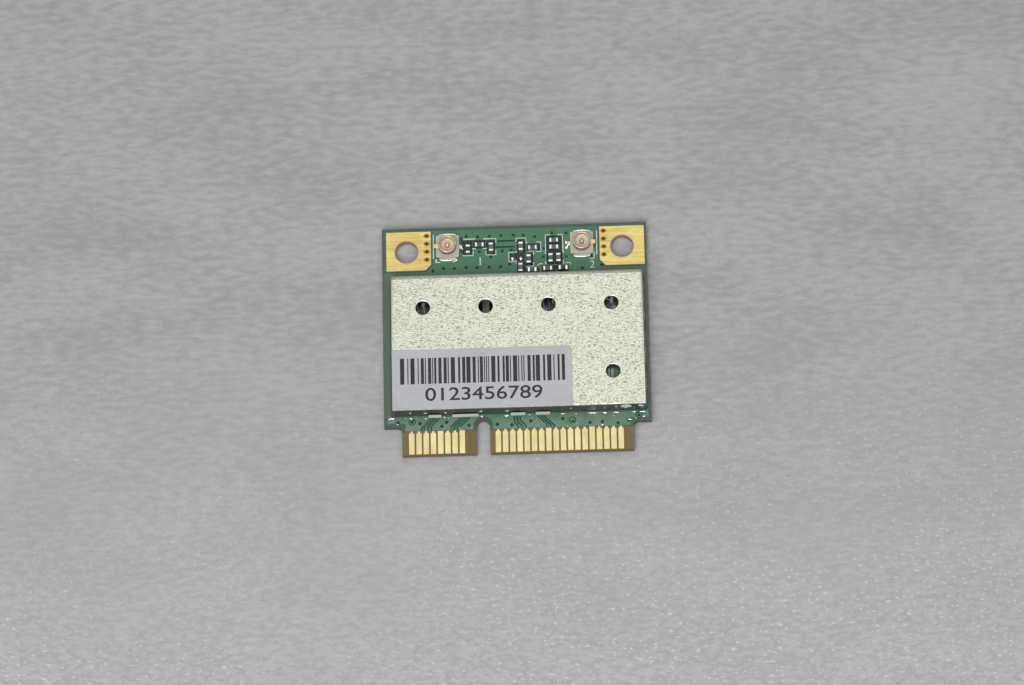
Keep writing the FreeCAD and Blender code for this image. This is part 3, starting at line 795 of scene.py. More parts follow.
def hand_over(piece: Piece, name: str, slot: str, *nodes: str) -> None:
    """Bring a finished piece to metres and fix it to the card.

    Args:
        piece: The piece in millimetres.
        name: Its final name.
        slot: The record's slot named for it; not used.
        *nodes: Solids that it stands for.
    """
    piece.name = piece.data.name = name
    piece.data.transform(Matrix.Scale(MM, 4))
    piece.data.update()
    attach(piece, "root")
    if nodes:
        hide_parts(*nodes)
    log.info("%s: %d faces", name, len(piece.data.polygons))


def tube(radius: float, resolution: int) -> bpy.types.Curve:
    """An empty curve with a round section and closed ends."""
    curve = bpy.data.curves.new("tube", "CURVE")
    curve.dimensions = "3D"
    curve.bevel_depth = radius
    curve.bevel_resolution = resolution
    curve.use_fill_caps = True
    return curve


def meshed(curve: bpy.types.Curve) -> Piece:
    """The smooth mesh of a curve."""
    only(added(curve.name, curve))
    bpy.ops.object.convert(target="MESH")
    bpy.ops.object.shade_smooth()
    return bpy.context.object


def stroke(lines: Sequence[Line], width: float, height: float, material: Material) -> Piece:
    """Flat lines that lie on the board with rounded shoulders.

    Args:
        lines: Corner points of each line.
        width: Width of the lines.
        height: How far they stand up.
        material: Their finish.

    Returns:
        One piece with all the lines.
    """
    curve = tube(width / 2, 1)
    for line in lines:
        spline = curve.splines.new("POLY")
        spline.points.add(len(line) - 1)
        for point, (x, y) in zip(spline.points, line):
            point.co = (x, y, 0.0, 1.0)
    piece = meshed(curve)
    flat = Matrix.Diagonal((1.0, 1.0, height / (width / 2), 1.0))
    piece.data.transform(Matrix.Translation((0.0, 0.0, BOARD_TOP)) @ flat)
    return dress(piece, material)


def plate(patch: Patch, height: float, material: Material,
          round_off: float = 0.03, level: float = BOARD_TOP) -> Piece:
    """A thin flat patch with softened edges.

    Args:
        patch: Left, right, low and high edges.
        height: Its thickness.
        material: Its finish.
        round_off: Radius of its corners seen from above.
        level: Height of the face that it lies on.

    Returns:
        The patch.
    """
    left, right, low, high = patch
    piece = box(((left + right) / 2, (low + high) / 2, level + height / 2),
                (right - left, high - low, height))
    round_corners(piece, round_off)
    with chosen(piece, lambda f: f.normal.z > UP):
        bpy.ops.mesh.inset(thickness=min(height, 0.02), depth=0.0)
    return dress(smooth(piece, 40), material)


def plates(patches: Sequence[Patch], *args: Any) -> list[Piece]:
    """Patches on the board, each as plate makes it from the same other arguments."""
    return [plate(patch, *args) for patch in patches]


def blob(centre: Sequence[float], size: Sequence[float], seed: int,
         material: Material) -> Piece:
    """A frozen drop of solder; the same shape makes the bulges painted white as highlights on the
    shield's wall.

    Args:
        centre: Its middle, which may lie in the board.
        size: Its full lengths.
        seed: Picks its unevenness.
        material: Its finish.

    Returns:
        The drop.
    """
    bpy.ops.mesh.primitive_ico_sphere_add(subdivisions=3, radius=0.5, location=centre)
    bpy.context.object.scale = size
    piece = fresh()
    with chosen(piece, None, "verts"):
        bpy.ops.transform.vertex_random(offset=min(size) * 0.1, seed=seed)
        bpy.ops.mesh.vertices_smooth(factor=0.5, repeat=1)
    bpy.ops.object.shade_smooth()
    return dress(piece, material)


def bead(start: Sequence[float], end: Sequence[float], radius: float, seed: int,
         material: Material) -> Piece:
    """A wavy run of solder along the foot of a wall.

    Args:
        start: Its first point.
        end: Its last point.
        radius: Its usual radius.
        seed: Picks its waves.
        material: Its finish.

    Returns:
        The run.
    """
    chance = random.Random(seed)
    first, last = Vector(start), Vector(end)
    steps = max(4, round((last - first).length / 0.35))
    curve = tube(radius, 3)
    spline = curve.splines.new("NURBS")
    spline.points.add(steps)
    spline.order_u = 3
    spline.use_endpoint_u = True
    for step, point in enumerate(spline.points):
        point.co = (*first.lerp(last, step / steps), 1.0)
        point.radius = 0.25 if step in (0, steps) else chance.uniform(0.55, 1.1)
    spline.resolution_u = 3
    return dress(meshed(curve), material)


def copied(node: str) -> Piece:
    """A merged copy of a solid, in millimetres."""
    piece = added(f"{node}_copy", bpy.data.objects[node].data.copy())
    piece.data.transform(Matrix.Scale(1.0 / MM, 4))
    with chosen(piece, None, "verts"):
        bpy.ops.mesh.remove_doubles(threshold=0.0005)
        bpy.ops.mesh.dissolve_limited(angle_limit=math.radians(1.0))
    return piece


# Sub-assemblies


@dataclass
class Board:
    """What lies in and on the mask: gaps in the copper, tracks, vias, legend and bare lands."""

    shop: Shop
    line: float = 0.14
    gap_width: float = 0.13
    rim_width: float = 0.12
    track_width: float = 0.15
    legend_height: float = 0.02
    track_height: float = 0.012
    gap_height: float = 0.004
    digit_height: float = 0.03
    land_height: float = 0.12
    head_width: float = 0.6
    head_start: float = -11.25
    head_end: float = -10.8
    head_round: float = 0.13
    via_radius: float = 0.18

    GAPS: tuple[Line, ...] = (
        ((-9.62, -9.15), (-10.72, -10.25), (-10.72, -10.5)),
        ((-9.32, -9.15), (-10.42, -10.25), (-10.42, -10.5)),
        ((-9.02, -9.15), (-9.98, -10.11), (-9.98, -10.5)),
        ((-8.72, -9.15), (-9.62, -10.05), (-9.62, -10.5)),
        ((-6.42, -9.15), (-7.42, -10.15), (-7.42, -10.5)),
        ((-6.08, -9.15), (-7.08, -10.15), (-7.08, -10.5)),
        ((-5.72, -9.15), (-6.72, -10.15), (-6.72, -10.5)), ((-5.36, -9.15), (-6.42, -10.21)),
        ((-0.4, -9.15), (-0.4, -9.85), (0.02, -10.27), (0.02, -10.5)),
        ((-0.06, -9.15), (-0.06, -9.75), (0.46, -10.27), (0.46, -10.5)),
        ((0.28, -9.15), (0.28, -9.62), (0.9, -10.24), (0.9, -10.5)),
        ((2.18, -9.15), (3.22, -10.19), (3.22, -10.5)),
        ((2.54, -9.15), (3.66, -10.27), (3.66, -10.5)),
        ((2.9, -9.15), (4.06, -10.31), (4.06, -10.5)), ((-2.1, 11.55), (0.08, 11.56)),
        ((-2.1, 11.49), (0.08, 11.5)), ((-2.1, 10.83), (0.08, 10.83)),
        ((-2.1, 10.77), (0.08, 10.77)),
    )
    PAD_RIMS: tuple[Line, ...] = (
        ((-9.22, 12.95), (-9.22, 8.9), (-9.93, 8.16), (-14.55, 8.16)),
        ((9.45, 12.95), (9.45, 8.9), (10.17, 8.16), (14.75, 8.16)),
    )
    TRACKS: tuple[Line, ...] = (
        ((-9.47, -9.15), (-10.57, -10.25), (-10.57, -10.55)),
        ((-8.87, -9.15), (-9.8, -10.08), (-9.8, -10.55)),
        ((-6.25, -9.15), (-7.25, -10.15), (-7.25, -10.55)),
        ((-5.9, -9.15), (-6.9, -10.15), (-6.9, -10.55)),
        ((-0.23, -9.15), (-0.23, -9.8), (0.24, -10.27), (0.24, -10.55)),
        ((0.11, -9.15), (0.11, -9.68), (0.68, -10.25), (0.68, -10.55)),
        ((2.36, -9.15), (3.44, -10.23), (3.44, -10.55)),
        ((2.72, -9.15), (3.86, -10.29), (3.86, -10.55)), ((-2.03, 11.16), (0.55, 11.16)),
    )
    DARK_PATCHES: tuple[Patch, ...] = (
        (-5.78, -4.66, 9.98, 11.72), (-4.6, -3.25, 10.72, 11.72), (-3.18, -2.1, 9.98, 11.72),
        (-0.58, 0.25, 10.2, 10.36), (0.26, 1.3, 10.0, 11.66), (1.45, 2.92, 10.2, 11.1),
        (-0.55, 1.18, 9.05, 9.98), (0.28, 1.28, 7.62, 9.0), (1.28, 2.12, 8.48, 9.98),
        (3.6, 5.38, 9.86, 11.98), (3.62, 5.42, 8.56, 9.86), (3.05, 6.02, 7.55, 8.46),
        (1.36, 2.75, 7.5, 8.22), (-6.02, -5.79, 10.2, 12.1), (8.38, 8.8, 9.28, 9.64),
    )
    LEGEND: tuple[Line, ...] = (
        ((-5.7, 11.86), (-4.35, 11.87)), ((-3.47, 11.84), (-2.03, 11.83), (-2.04, 11.33)),
        ((-4.71, 10.7), (-4.31, 10.7)), ((-3.52, 10.69), (-3.08, 10.68)),
        ((-5.79, 9.92), (-4.63, 9.9), (-4.62, 10.42)),
        ((-3.17, 10.41), (-3.17, 9.93), (-2.07, 9.9), (-2.05, 10.49)),
        ((0.23, 11.37), (0.24, 11.8), (1.33, 11.8), (1.34, 11.23), (1.52, 11.21)),
        ((0.22, 10.3), (0.21, 10.15), (-0.62, 10.16), (-0.63, 9.04), (-0.1, 9.03),
         (0.16, 9.22), (0.19, 8.81)),
        ((2.53, 11.29), (3.0, 11.28), (3.0, 10.13), (2.53, 10.14), (2.38, 10.25)),
        ((1.58, 10.22), (2.18, 10.22), (2.18, 9.76)), ((2.15, 8.87), (2.15, 8.41), (1.31, 8.39)),
        ((2.55, 8.48), (2.83, 8.68), (3.17, 8.69)), ((4.03, 12.08), (3.53, 12.1), (3.5, 9.84)),
        ((3.51, 9.0), (3.5, 8.59)), ((4.9, 12.08), (5.44, 12.09), (5.49, 9.86)),
        ((5.5, 9.0), (5.51, 8.55)), ((5.75, 8.72), (6.23, 8.74), (6.31, 8.44)),
        ((-9.07, 12.51), (-9.09, 9.65)), ((9.29, 12.44), (9.26, 9.6)),
        ((-8.87, 9.19), (-8.33, 9.21)), ((-6.98, 9.22), (-6.64, 9.27)),
        ((8.5, 9.13), (8.94, 9.12), (8.97, 9.92)),
    )
    ARCH_BARS: tuple[Patch, ...] = (
        (-9.89, -8.51, -9.04, -8.72), (-7.23, -4.37, -9.04, -8.72), (-0.76, 0.84, -9.04, -8.72),
        (2.01, 3.59, -9.04, -8.72),
    )
    VIAS: tuple[Point, ...] = (
        (-5.36, 12.17), (-4.1, 12.12), (-2.77, 12.13), (-3.93, 10.31), (-2.65, 9.64),
        (-5.42, 8.48), (-4.19, 8.42), (-2.84, 8.44), (-0.35, 10.41), (-0.53, 8.72), (-0.07, 12.18),
        (1.05, 12.12), (2.32, 11.9), (3.32, 10.51), (3.24, 9.49), (5.82, 9.44), (4.26, 12.31),
        (5.87, 12.26), (9.78, 8.34), (-9.15, 8.2), (-6.75, 8.4), (-7.95, 8.44), (-1.55, 8.44),
        (-1.35, 10.31), (-1.45, 12.15), (7.6, 8.0), (-11.73, -9.49), (-10.87, -9.71),
        (-8.44, -10.1), (-7.9, -9.62), (-5.42, -10.04), (-2.28, -10.01), (-0.66, -10.15),
        (1.45, -9.75), (8.0, -10.13), (9.37, -10.07), (11.1, -10.29), (13.43, -9.42), (6.1, -9.95),
        (12.3, -10.0), (-13.3, -9.55), (5.0, -9.6),
    )
    RING_VIAS: tuple[Point, ...] = ((-11.73, -9.49), (6.05, -9.8), (13.43, -9.42))
    UNDER_VIAS: tuple[Point, ...] = (
        (-11.2, 5.4), (-8.6, 5.9), (-5.1, 5.2), (-1.7, 5.8), (2.4, 5.3), (6.2, 5.9), (9.8, 5.2),
        (-12.6, 1.9), (-9.3, 0.8), (-6.2, 1.7), (-3.1, 0.6), (0.4, 1.5), (3.6, 0.7), (7.1, 1.6),
        (10.4, 0.9), (12.9, 2.2), (-11.8, -3.2), (-8.4, -4.1), (-4.6, -3.3), (-1.2, -4.4),
        (2.2, -3.4), (5.8, -4.3), (9.1, -3.5), (12.2, -4.2), (-7.2, -7.6), (0.8, -7.2),
        (4.9, -7.8), (9.7, -7.3),
    )
    HEADS: tuple[float, ...] = (
        *(-11.8 + 0.8 * step for step in (0, 1, 2, 3, 5, 6)),
        *(-2.2 + 0.8 * step for step in (*range(7), *range(8, 13), *range(14, 18))),
    )
    BARE_LANDS: tuple[Patch, ...] = (
        (-0.42, -0.02, 9.18, 9.6), (0.52, 0.92, 9.18, 9.6), (5.66, 6.1, 10.95, 11.35),
        (5.66, 6.1, 10.38, 10.76), (-8.95, -8.65, 9.3, 9.62), (-6.72, -6.36, 9.3, 9.62),
    )

    def build(self) -> None:
        """Make and dress everything on the board's own faces."""
        for node, material in (("circuit_board", self.shop.mask),
                               ("edge_contacts_top", self.shop.contact),
                               ("edge_contacts_bottom", self.shop.contact)):
            dress(bpy.data.objects[node], material)
        self._copper()
        self._vias()
        self._legend()
        self._heads()
        self._lands()
        self._underside()

    def _copper(self) -> None:
        """Gaps in the copper and the masked tracks between them."""
        gaps = [stroke(self.GAPS, self.gap_width, self.gap_height, self.shop.gap),
                stroke(self.PAD_RIMS, self.rim_width, self.gap_height, self.shop.olive),
                *plates(self.DARK_PATCHES, self.gap_height, self.shop.patch)]
        hand_over(merge(gaps), "copper_gaps", "solder_mask")
        tracks = stroke(self.TRACKS, self.track_width, self.track_height, self.shop.track)
        hand_over(tracks, "masked_tracks", "solder_mask")

    def _via(self) -> Piece:
        """One masked via: a low ring round a dark well."""
        bpy.ops.mesh.primitive_circle_add(vertices=16, radius=self.via_radius + 0.07,
                                          fill_type="NGON", location=(0.0, 0.0, 0.001))
        via = fresh()
        with chosen(via):
            bpy.ops.mesh.inset(thickness=0.03, depth=0.014)
            bpy.ops.mesh.inset(thickness=0.02, depth=0.0)
            bpy.ops.mesh.inset(thickness=0.03, depth=-0.01)
        dress(via, self.shop.track, self.shop.via)
        paint(via, 1, lambda centre, normal: centre.to_2d().length < self.via_radius + 0.01)
        return smooth(via, 60)

    def _vias(self) -> None:
        """All vias of the upper face."""
        model = self._via()
        copies = [twin(model, (x, y, BOARD_TOP)) for x, y in self.VIAS]
        for x, y in self.RING_VIAS:
            bpy.ops.mesh.primitive_torus_add(major_segments=24, minor_segments=6,
                                             major_radius=0.36, minor_radius=0.05,
                                             location=(x, y, BOARD_TOP))
            bpy.context.object.scale = (1.0, 1.0, 0.12)
            copies.append(dress(fresh(), self.shop.gap))
        hand_over(merge(copies), "masked_vias", "solder_mask")
        bpy.data.objects.remove(model)

    def _legend(self) -> None:
        """Printed outlines, bars under the arches and the numbers of the two sockets."""
        lines = stroke(self.LEGEND, self.line, self.legend_height, self.shop.legend)
        bars = plates(self.ARCH_BARS, self.legend_height, self.shop.bar)
        hand_over(merge([lines, *bars]), "legend_lines", "solder_mask")
        digits = [digits_on(text, place, size, BOARD_TOP, self.digit_height, self.shop.legend)
                  for text, place, size in (("1", (-3.84, 8.72), 0.95), ("2", (8.72, 8.02), 0.85))]
        hand_over(merge(digits), "legend_numbers", "solder_mask")

    def _heads(self) -> None:
        """Rounded heads of the plating, which run up the necks to the edge of the mask."""
        half = self.head_width / 2
        patches = [(x - half, x + half, self.head_start, self.head_end) for x in self.HEADS]
        heads = plates(patches, self.gap_height, self.shop.contact, self.head_round)
        hand_over(merge(heads), "contact_heads", "gold")

    def _lands(self) -> None:
        """Empty lands with a thin cushion of solder."""
        lands = [blob(((left + right) / 2, (low + high) / 2, BOARD_TOP),
                      (right - left, high - low, self.land_height), seed, self.shop.solder)
                 for seed, (left, right, low, high) in enumerate(self.BARE_LANDS)]
        hand_over(merge(lands), "bare_lands", "solder")

    def _underside(self) -> None:
        """Flatter vias of the plain lower face."""
        model = self._via()
        flat = Matrix.Diagonal((1.0, 1.0, 0.2, 1.0))
        model.data.transform(flat @ Matrix.Rotation(math.pi, 4, "X"))
        copies = [twin(model, (x, y, 0.0)) for x, y in (*self.VIAS, *self.UNDER_VIAS)]
        hand_over(merge(copies), "under_vias", "solder_mask")
        bpy.data.objects.remove(model)


def digits_on(text: str, place: Point, height: float, level: float, weight: float,
              material: Material, stretch: float = 1.0, bold: float = 0.0) -> Piece:
    """Plain digits laid flat.

    Args:
        text: The digits.
        place: Middle of their foot.
        height: Height of a digit.
        level: Height of the face below them.
        weight: Thickness of the ink.
        material: The ink.
        stretch: How much wider than usual they are.
        bold: How far each stroke is widened to either side.

    Returns:
        The digits as one mesh.
    """
    bpy.ops.object.text_add(location=(0.0, 0.0, 0.0))
    piece = bpy.context.object
    piece.data.body = text
    piece.data.align_x = "CENTER"
    piece.data.size = height / 0.69
    piece.data.extrude = weight / 2
    piece.data.bevel_depth = bold
    bpy.ops.object.convert(target="MESH")
    piece = bpy.context.object
    wider = Matrix.Diagonal((stretch, 1.0, weight / (weight + 2.0 * bold), 1.0))
    piece.data.transform(Matrix.Translation((*place, level)) @ wider)
    return dress(piece, material)


class Kind(Enum):
    """Kinds of small chip between the sockets."""

    CAPACITOR = "capacitor"
    INDUCTOR = "inductor"
    RESISTOR = "resistor"


@dataclass
class MatchingChips:
    """The small chips between the sockets, each with its tinned ends and fillets."""

    shop: Shop
    length: float = 1.0
    width: float = 0.5
    height: float = 0.46
    cap: float = 0.25

    def build(self) -> None:
        """Model one chip of each kind and copy it to each solid's place."""
        for kind in Kind:
            model = self._model(kind)
            start = f"match_{kind.value}"
            for name in sorted(name for name in bpy.data.objects.keys() if name.startswith(start)):
                low, high = corners(name)
                upright = high.y - low.y > high.x - low.x
                middle = (low + high) / 2
                chip = twin(model, (middle.x, middle.y, BOARD_TOP), 90.0 if upright else 0.0)
                hand_over(chip, f"{name}_chip", f"chip_{kind.value}", name)
            bpy.data.objects.remove(model)

    def _model(self, kind: Kind) -> Piece:
        """One chip along X at the origin.

        Args:
            kind: Which body it has.

        Returns:
            The chip in millimetres.
        """
        half = self.length / 2
        body = box((0.0, 0.0, self.height / 2), (self.length, self.width, self.height))
        with chosen(body):
            for edge in (self.cap - half, half - self.cap):
                bpy.ops.mesh.select_all(action="SELECT")
                bpy.ops.mesh.bisect(plane_co=(edge, 0.0, 0.0), plane_no=(1.0, 0.0, 0.0))
            pick(body, lambda f: abs(f.calc_center_median().x) < half - self.cap
                 and abs(f.normal.x) < 0.5 and f.normal.z > -0.5)
            bpy.ops.mesh.extrude_region_shrink_fatten(
                TRANSFORM_OT_shrink_fatten={"value": -0.025})
            pick(body, lambda f: abs(f.calc_center_median().x) > half - self.cap
                 and f.normal.z > UP)
            bpy.ops.mesh.inset(thickness=0.06, depth=0.0)
        soften(body, 0.105, 4)
        dress(body, self.shop.stock[kind.value], self.shop.cap, self.shop.seam)
        # painted shade and highlight: the ends in darker seam solder, with a small spot of bright
        # tin on each as a glint
        paint(body, 2, lambda centre, normal: abs(centre.x) > half - self.cap - 0.005)
        paint(body, 1, lambda centre, normal: abs(abs(centre.x) - half + self.cap / 2) < 0.03
              and abs(centre.y) < 0.05 and normal.z > 0.99)
        pieces = [body]
        for side in (-1, 1):
            fillet = box((side * (half + 0.05), 0.0, 0.11), (0.16, 0.42, 0.22))
            with chosen(fillet, lambda v: v.co.z > 0.15 and abs(v.co.x) > half + 0.05, "verts"):
                bpy.ops.transform.translate(value=(0.0, 0.0, -0.18))
            pieces.append(dress(soften(fillet, 0.03), self.shop.seam))
        return merge(pieces)


@dataclass
class CoaxialSocket:
    """A small coaxial socket: moulding, grooved ring with feet and ear, pin and its solder."""

    shop: Shop
    number: int
    sense: int
    radius: float = 1.0
    wall: float = 0.15
    floor: float = 0.45
    height: float = 1.25
    groove: float = 0.07
    reach: float = 1.55

    def build(self) -> None:
        """Make the four pieces at the place of the solids."""
        node = f"antenna_socket_{self.number}"
        low, high = corners(f"{node}_insulator")
        middle = (low + high) / 2
        place = (middle.x, middle.y, BOARD_TOP)
        for piece, part, slot, *solids in (
                (self._moulding(), "insulator", "socket_moulding", f"{node}_insulator"),
                (self._shell(), "shell", "socket_gold", f"{node}_shell"),
                (self._pin(), "pin", "socket_gold", f"{node}_pin"),
                (self._solder(), "solder", "solder")):
            piece.data.transform(Matrix.Translation(place))
            hand_over(piece, f"socket_{self.number}_{part}", slot, *solids)

    def _moulding(self) -> Piece:
        """The square moulding with cut corners and a dished floor round the pin."""
        block = box((0.0, 0.0, self.floor / 2), (2.6, 2.6, self.floor))
        round_corners(block, 0.13)
        soften(block, 0.05)
        boss = cylinder(48, self.radius - self.wall, self.floor, 0.06)
        with chosen(boss, lambda f: f.normal.z > UP):
            bpy.ops.mesh.inset(thickness=0.38)
            bpy.ops.mesh.inset(thickness=0.05, depth=-0.05)
        soften(boss, 0.015)
        dress(block, self.shop.moulding)
        return merge([block, dress(boss, self.shop.floor)])

    def _ring(self) -> Piece:
        """The ring, spun from its section with groove and bevelled mouth."""
        inner = self.radius - self.wall
        g = self.groove
        low = self.floor + 0.15
        section = [(inner, self.floor), (self.radius, self.floor), (self.radius, low),
                   (self.radius - g, low + g), (self.radius - g, low + g + 0.1),
                   (self.radius, low + 2 * g + 0.1), (self.radius, self.height - 0.06),
                   (self.radius - 0.02, self.height - 0.02), (self.radius - 0.06, self.height),
                   (inner + 0.06, self.height), (inner + 0.02, self.height - 0.02),
                   (inner, self.height - 0.06), (inner, self.floor)]
        bpy.ops.mesh.primitive_plane_add(size=0.1, location=(section[0][0], 0.0, section[0][1]))
        ring = fresh()
        with chosen(ring, None, "verts"):
            bpy.ops.mesh.merge(type="CENTER")
            here = section[0]
            for point in section[1:]:
                bpy.ops.mesh.extrude_region_move(TRANSFORM_OT_translate={
                    "value": (point[0] - here[0], 0.0, point[1] - here[1])})
                here = point
            bpy.ops.mesh.select_all(action="SELECT")
            bpy.ops.mesh.spin(steps=64, angle=math.tau, center=(0.0, 0.0, 0.0),
                              axis=(0.0, 0.0, 1.0))
            bpy.ops.mesh.select_all(action="SELECT")
            bpy.ops.mesh.remove_doubles(threshold=0.0005)
            bpy.ops.mesh.normals_make_consistent(inside=False)
        dress(smooth(ring, 35), self.shop.ring, self.shop.groove)
        # painted shade: the groove and the ring's lower outer wall in darker gold
        paint(ring, 1, lambda centre, normal: centre.z < low + 2 * g + 0.1
              and centre.to_2d().length > self.radius - g - 0.01)
        return ring

    def _shell(self) -> Piece:
        """The ring with its flat legs, two feet and the tapered ear."""
        pieces = [self._ring()]
        middle = self.radius - self.wall
        foot = self.reach - middle + self.wall / 2
        for end in (-1, 1):
            leg = box((0.0, middle * end, (self.floor + 0.07) / 2),
                      (0.8, self.wall, self.floor + 0.07))
            pieces.append(dress(soften(leg, 0.03), self.shop.ear))
            shoe = box((0.0, (self.reach - foot / 2) * end, 0.06), (1.9, foot, 0.12))
            round_corners(shoe, 0.1, 3)
            pieces.append(dress(soften(shoe, 0.02), self.shop.foot))
        ear = box((-self.sense * (middle + self.reach) / 2, 0.0, self.floor + 0.06),
                  (self.reach - middle, 0.6, 0.12))
        with chosen(ear, lambda v: abs(v.co.x) > self.reach - 0.05, "verts"):
            bpy.ops.transform.resize(value=(1.0, 0.72, 1.0))
        pieces.append(dress(soften(ear, 0.03), self.shop.ear))
        return merge(pieces)

    def _pin(self) -> Piece:
        """The centre pin with a rounded tip, and its flat tail."""
        post = cylinder(32, 0.25, 0.0, 0.95)
        with chosen(post, lambda f: f.normal.z > UP):
            bpy.ops.mesh.bevel(offset=0.12, segments=5)
        tail = box((self.sense * self.reach / 2, 0.0, 0.06), (self.reach, 0.5, 0.12))
        dress(soften(tail, 0.03), self.shop.foot)
        smooth(post, 40)
        return merge([dress(post, self.shop.stock[f"pin_{self.number}"]), tail])

    def _solder(self) -> Piece:
        """Solder in front of both feet, at the tail and under the ear."""
        tail = self.sense * self.reach
        return merge([
            bead((-0.9, -1.56, 0.03), (0.9, -1.56, 0.03), 0.15, 11, self.shop.solder),
            bead((-0.85, 1.56, 0.03), (0.85, 1.56, 0.03), 0.13, 12, self.shop.solder),
            blob((tail, 0.0, 0.03), (0.34, 0.46, 0.2), 13, self.shop.solder),
            blob((tail + self.sense * 0.08, -0.22, 0.02), (0.3, 0.26, 0.22), 14, self.shop.solder),
        ])


@dataclass
class GroundPads:
    """The two gold grounds with rolled edges round the screw holes."""

    shop: Shop

    def build(self) -> None:
        """Refit both grounds."""
        for side in ("left", "right"):
            node = f"ground_pad_{side}"
            low, high = corners(node)
            pad = dress(soften(copied(node), 0.03, 2, 40.0), self.shop.pad, self.shop.barrel)
            paint(pad, 1, lambda centre, normal: abs(normal.z) < 0.9
                  and low.x + 0.4 < centre.x < high.x - 0.4
                  and low.y + 0.4 < centre.y < high.y - 0.4)
            hand_over(pad, f"ground_{side}", "pad_gold", node)


@dataclass
class Shield:
    """The folded sheet, the solder along its foot, white highlights painted on its front wall and
    the label on its lid.
    """

    shop: Shop
    film: float = 0.058
    lip: float = 0.09
    vent_radius: float = 0.78
    vent_row: float = 3.125
    vent_steps: tuple[float, ...] = (-10.5, -3.5, 3.5, 10.5)
    front_vent: float = 8.0
    seam_gap: float = 0.07
    front_gap: float = 0.22
    drop_height: float = 0.2
    smear_depth: float = 0.1
    ink: float = 0.004
    bar_unit: float = 0.115
    bar_least: float = 0.13
    bar_row: Point = (-4.3, 3.02)
    bar_span: Point = (-12.88, 5.58)

    FRONT_RUNS: tuple[tuple[float, float, float], ...] = (
        (-14.3, -13.45, 0.13), (-12.62, -12.32, 0.06), (-12.1, -11.6, 0.1), (-11.3, -11.05, 0.06),
        (-10.35, -10.0, 0.09), (-8.3, -7.9, 0.07), (-4.25, -3.7, 0.09), (-1.55, -0.85, 0.12),
        (1.1, 1.6, 0.08), (4.75, 5.45, 0.1), (6.35, 6.65, 0.07), (7.8, 9.05, 0.1),
        (9.35, 10.05, 0.11), (10.6, 11.5, 0.1), (12.65, 13.25, 0.09), (13.45, 14.35, 0.13),
    )
    SIDE_RUNS: tuple[tuple[int, float, float, float], ...] = (
        (-1, -8.5, -5.6, 0.09), (-1, -4.9, -1.1, 0.1), (-1, -0.5, 2.6, 0.08), (-1, 3.2, 6.5, 0.1),
        (1, -8.4, -4.3, 0.1), (1, -3.6, 0.9, 0.09), (1, 1.5, 6.4, 0.09),
    )
    BACK_RUNS: tuple[tuple[float, float, float], ...] = (
        (-13.2, -7.6, 0.09), (-6.9, 0.2, 0.08), (0.9, 7.0, 0.09), (7.7, 13.6, 0.09),
    )
    DROPS: tuple[Patch, ...] = (
        (-14.2, -9.05, 0.4, 0.26), (-13.8, -9.08, 0.3, 0.22), (-11.8, -9.1, 0.36, 0.2),
        (-10.18, -9.1, 0.3, 0.22), (-7.72, -9.1, 0.26, 0.24), (-3.95, -9.08, 0.26, 0.2),
        (-1.2, -9.1, 0.5, 0.22), (8.55, -9.08, 0.5, 0.16), (9.72, -9.1, 0.5, 0.18),
        (11.1, -9.04, 0.6, 0.18), (13.9, -9.02, 0.7, 0.24), (9.35, -10.46, 0.6, 0.14),
        (-13.35, -9.72, 0.28, 0.24), (-6.31, -10.42, 0.34, 0.16), (-5.16, -10.44, 0.2, 0.18),
        (12.45, -9.91, 0.72, 0.18), (14.02, -9.6, 0.62, 0.14), (6.62, -10.22, 0.2, 0.16),
        (1.62, -9.35, 0.24, 0.24), (5.55, -10.46, 0.24, 0.16), (13.1, -9.75, 0.3, 0.12),
        (6.05, -10.1, 0.18, 0.14), (10.95, -10.4, 0.22, 0.1), (10.7, -9.45, 0.5, 0.08),
    )
    # painted highlights: low bulges on the front wall, painted white where light glints on it
    SMEARS: tuple[Patch, ...] = (
        (11.78, 2.42, 0.66, 0.92), (12.14, 2.62, 0.84, 0.74), (12.42, 2.36, 0.52, 0.6),
        (12.02, 2.06, 0.52, 0.56), (13.62, 2.6, 0.5, 0.46), (13.84, 2.46, 0.34, 0.52),
        (10.95, 2.45, 0.24, 0.16), (5.95, 2.25, 0.22, 0.3), (-11.9, 2.15, 0.26, 0.24),
        (-10.2, 1.95, 0.4, 0.3), (-7.95, 1.95, 0.34, 0.3), (-4.05, 2.1, 0.4, 0.3),
        (-1.1, 2.0, 0.3, 0.4),
    )

    def build(self) -> None:
        """Make the sheet, the solder and the label."""
        low, high = corners("shield_can")
        middle = (low.x + high.x) / 2
        self.vents = [Vector((middle + step, self.vent_row)) for step in self.vent_steps]
        self.vents.append(self.vents[-1] - Vector((0.0, self.front_vent)))
        sheet = copied("shield_can")
        self._roll_vents(sheet)
        dress(soften(sheet, 0.02, 2, 50.0), self.shop.sheet, self.shop.lip)
        # painted highlight: the rolled vent mouths in a brighter tin than the sheet
        paint(sheet, 1, lambda centre, normal: normal.z < 0.98
              and self._near_vent(centre, self.vent_radius + self.lip))
        hand_over(sheet, "shield_sheet", "tinned_sheet", "shield_can")
        self._solder()
        self._label()

    def _near_vent(self, place: Vector, reach: float) -> bool:
        """Whether a place on the lid lies within reach of the middle of a vent."""
        return place.z > LID - 0.15 and any(
            (place.to_2d() - vent).length < reach for vent in self.vents)

    def _roll_vents(self, sheet: Piece) -> None:
        """Round the mouth of each vent."""
        with chosen(sheet, lambda e: all(
                v.co.z > LID - 0.001 and self._near_vent(v.co, self.vent_radius + 0.02)
                for v in e.verts), "edges"):
            bpy.ops.mesh.bevel(offset=self.lip, segments=3)

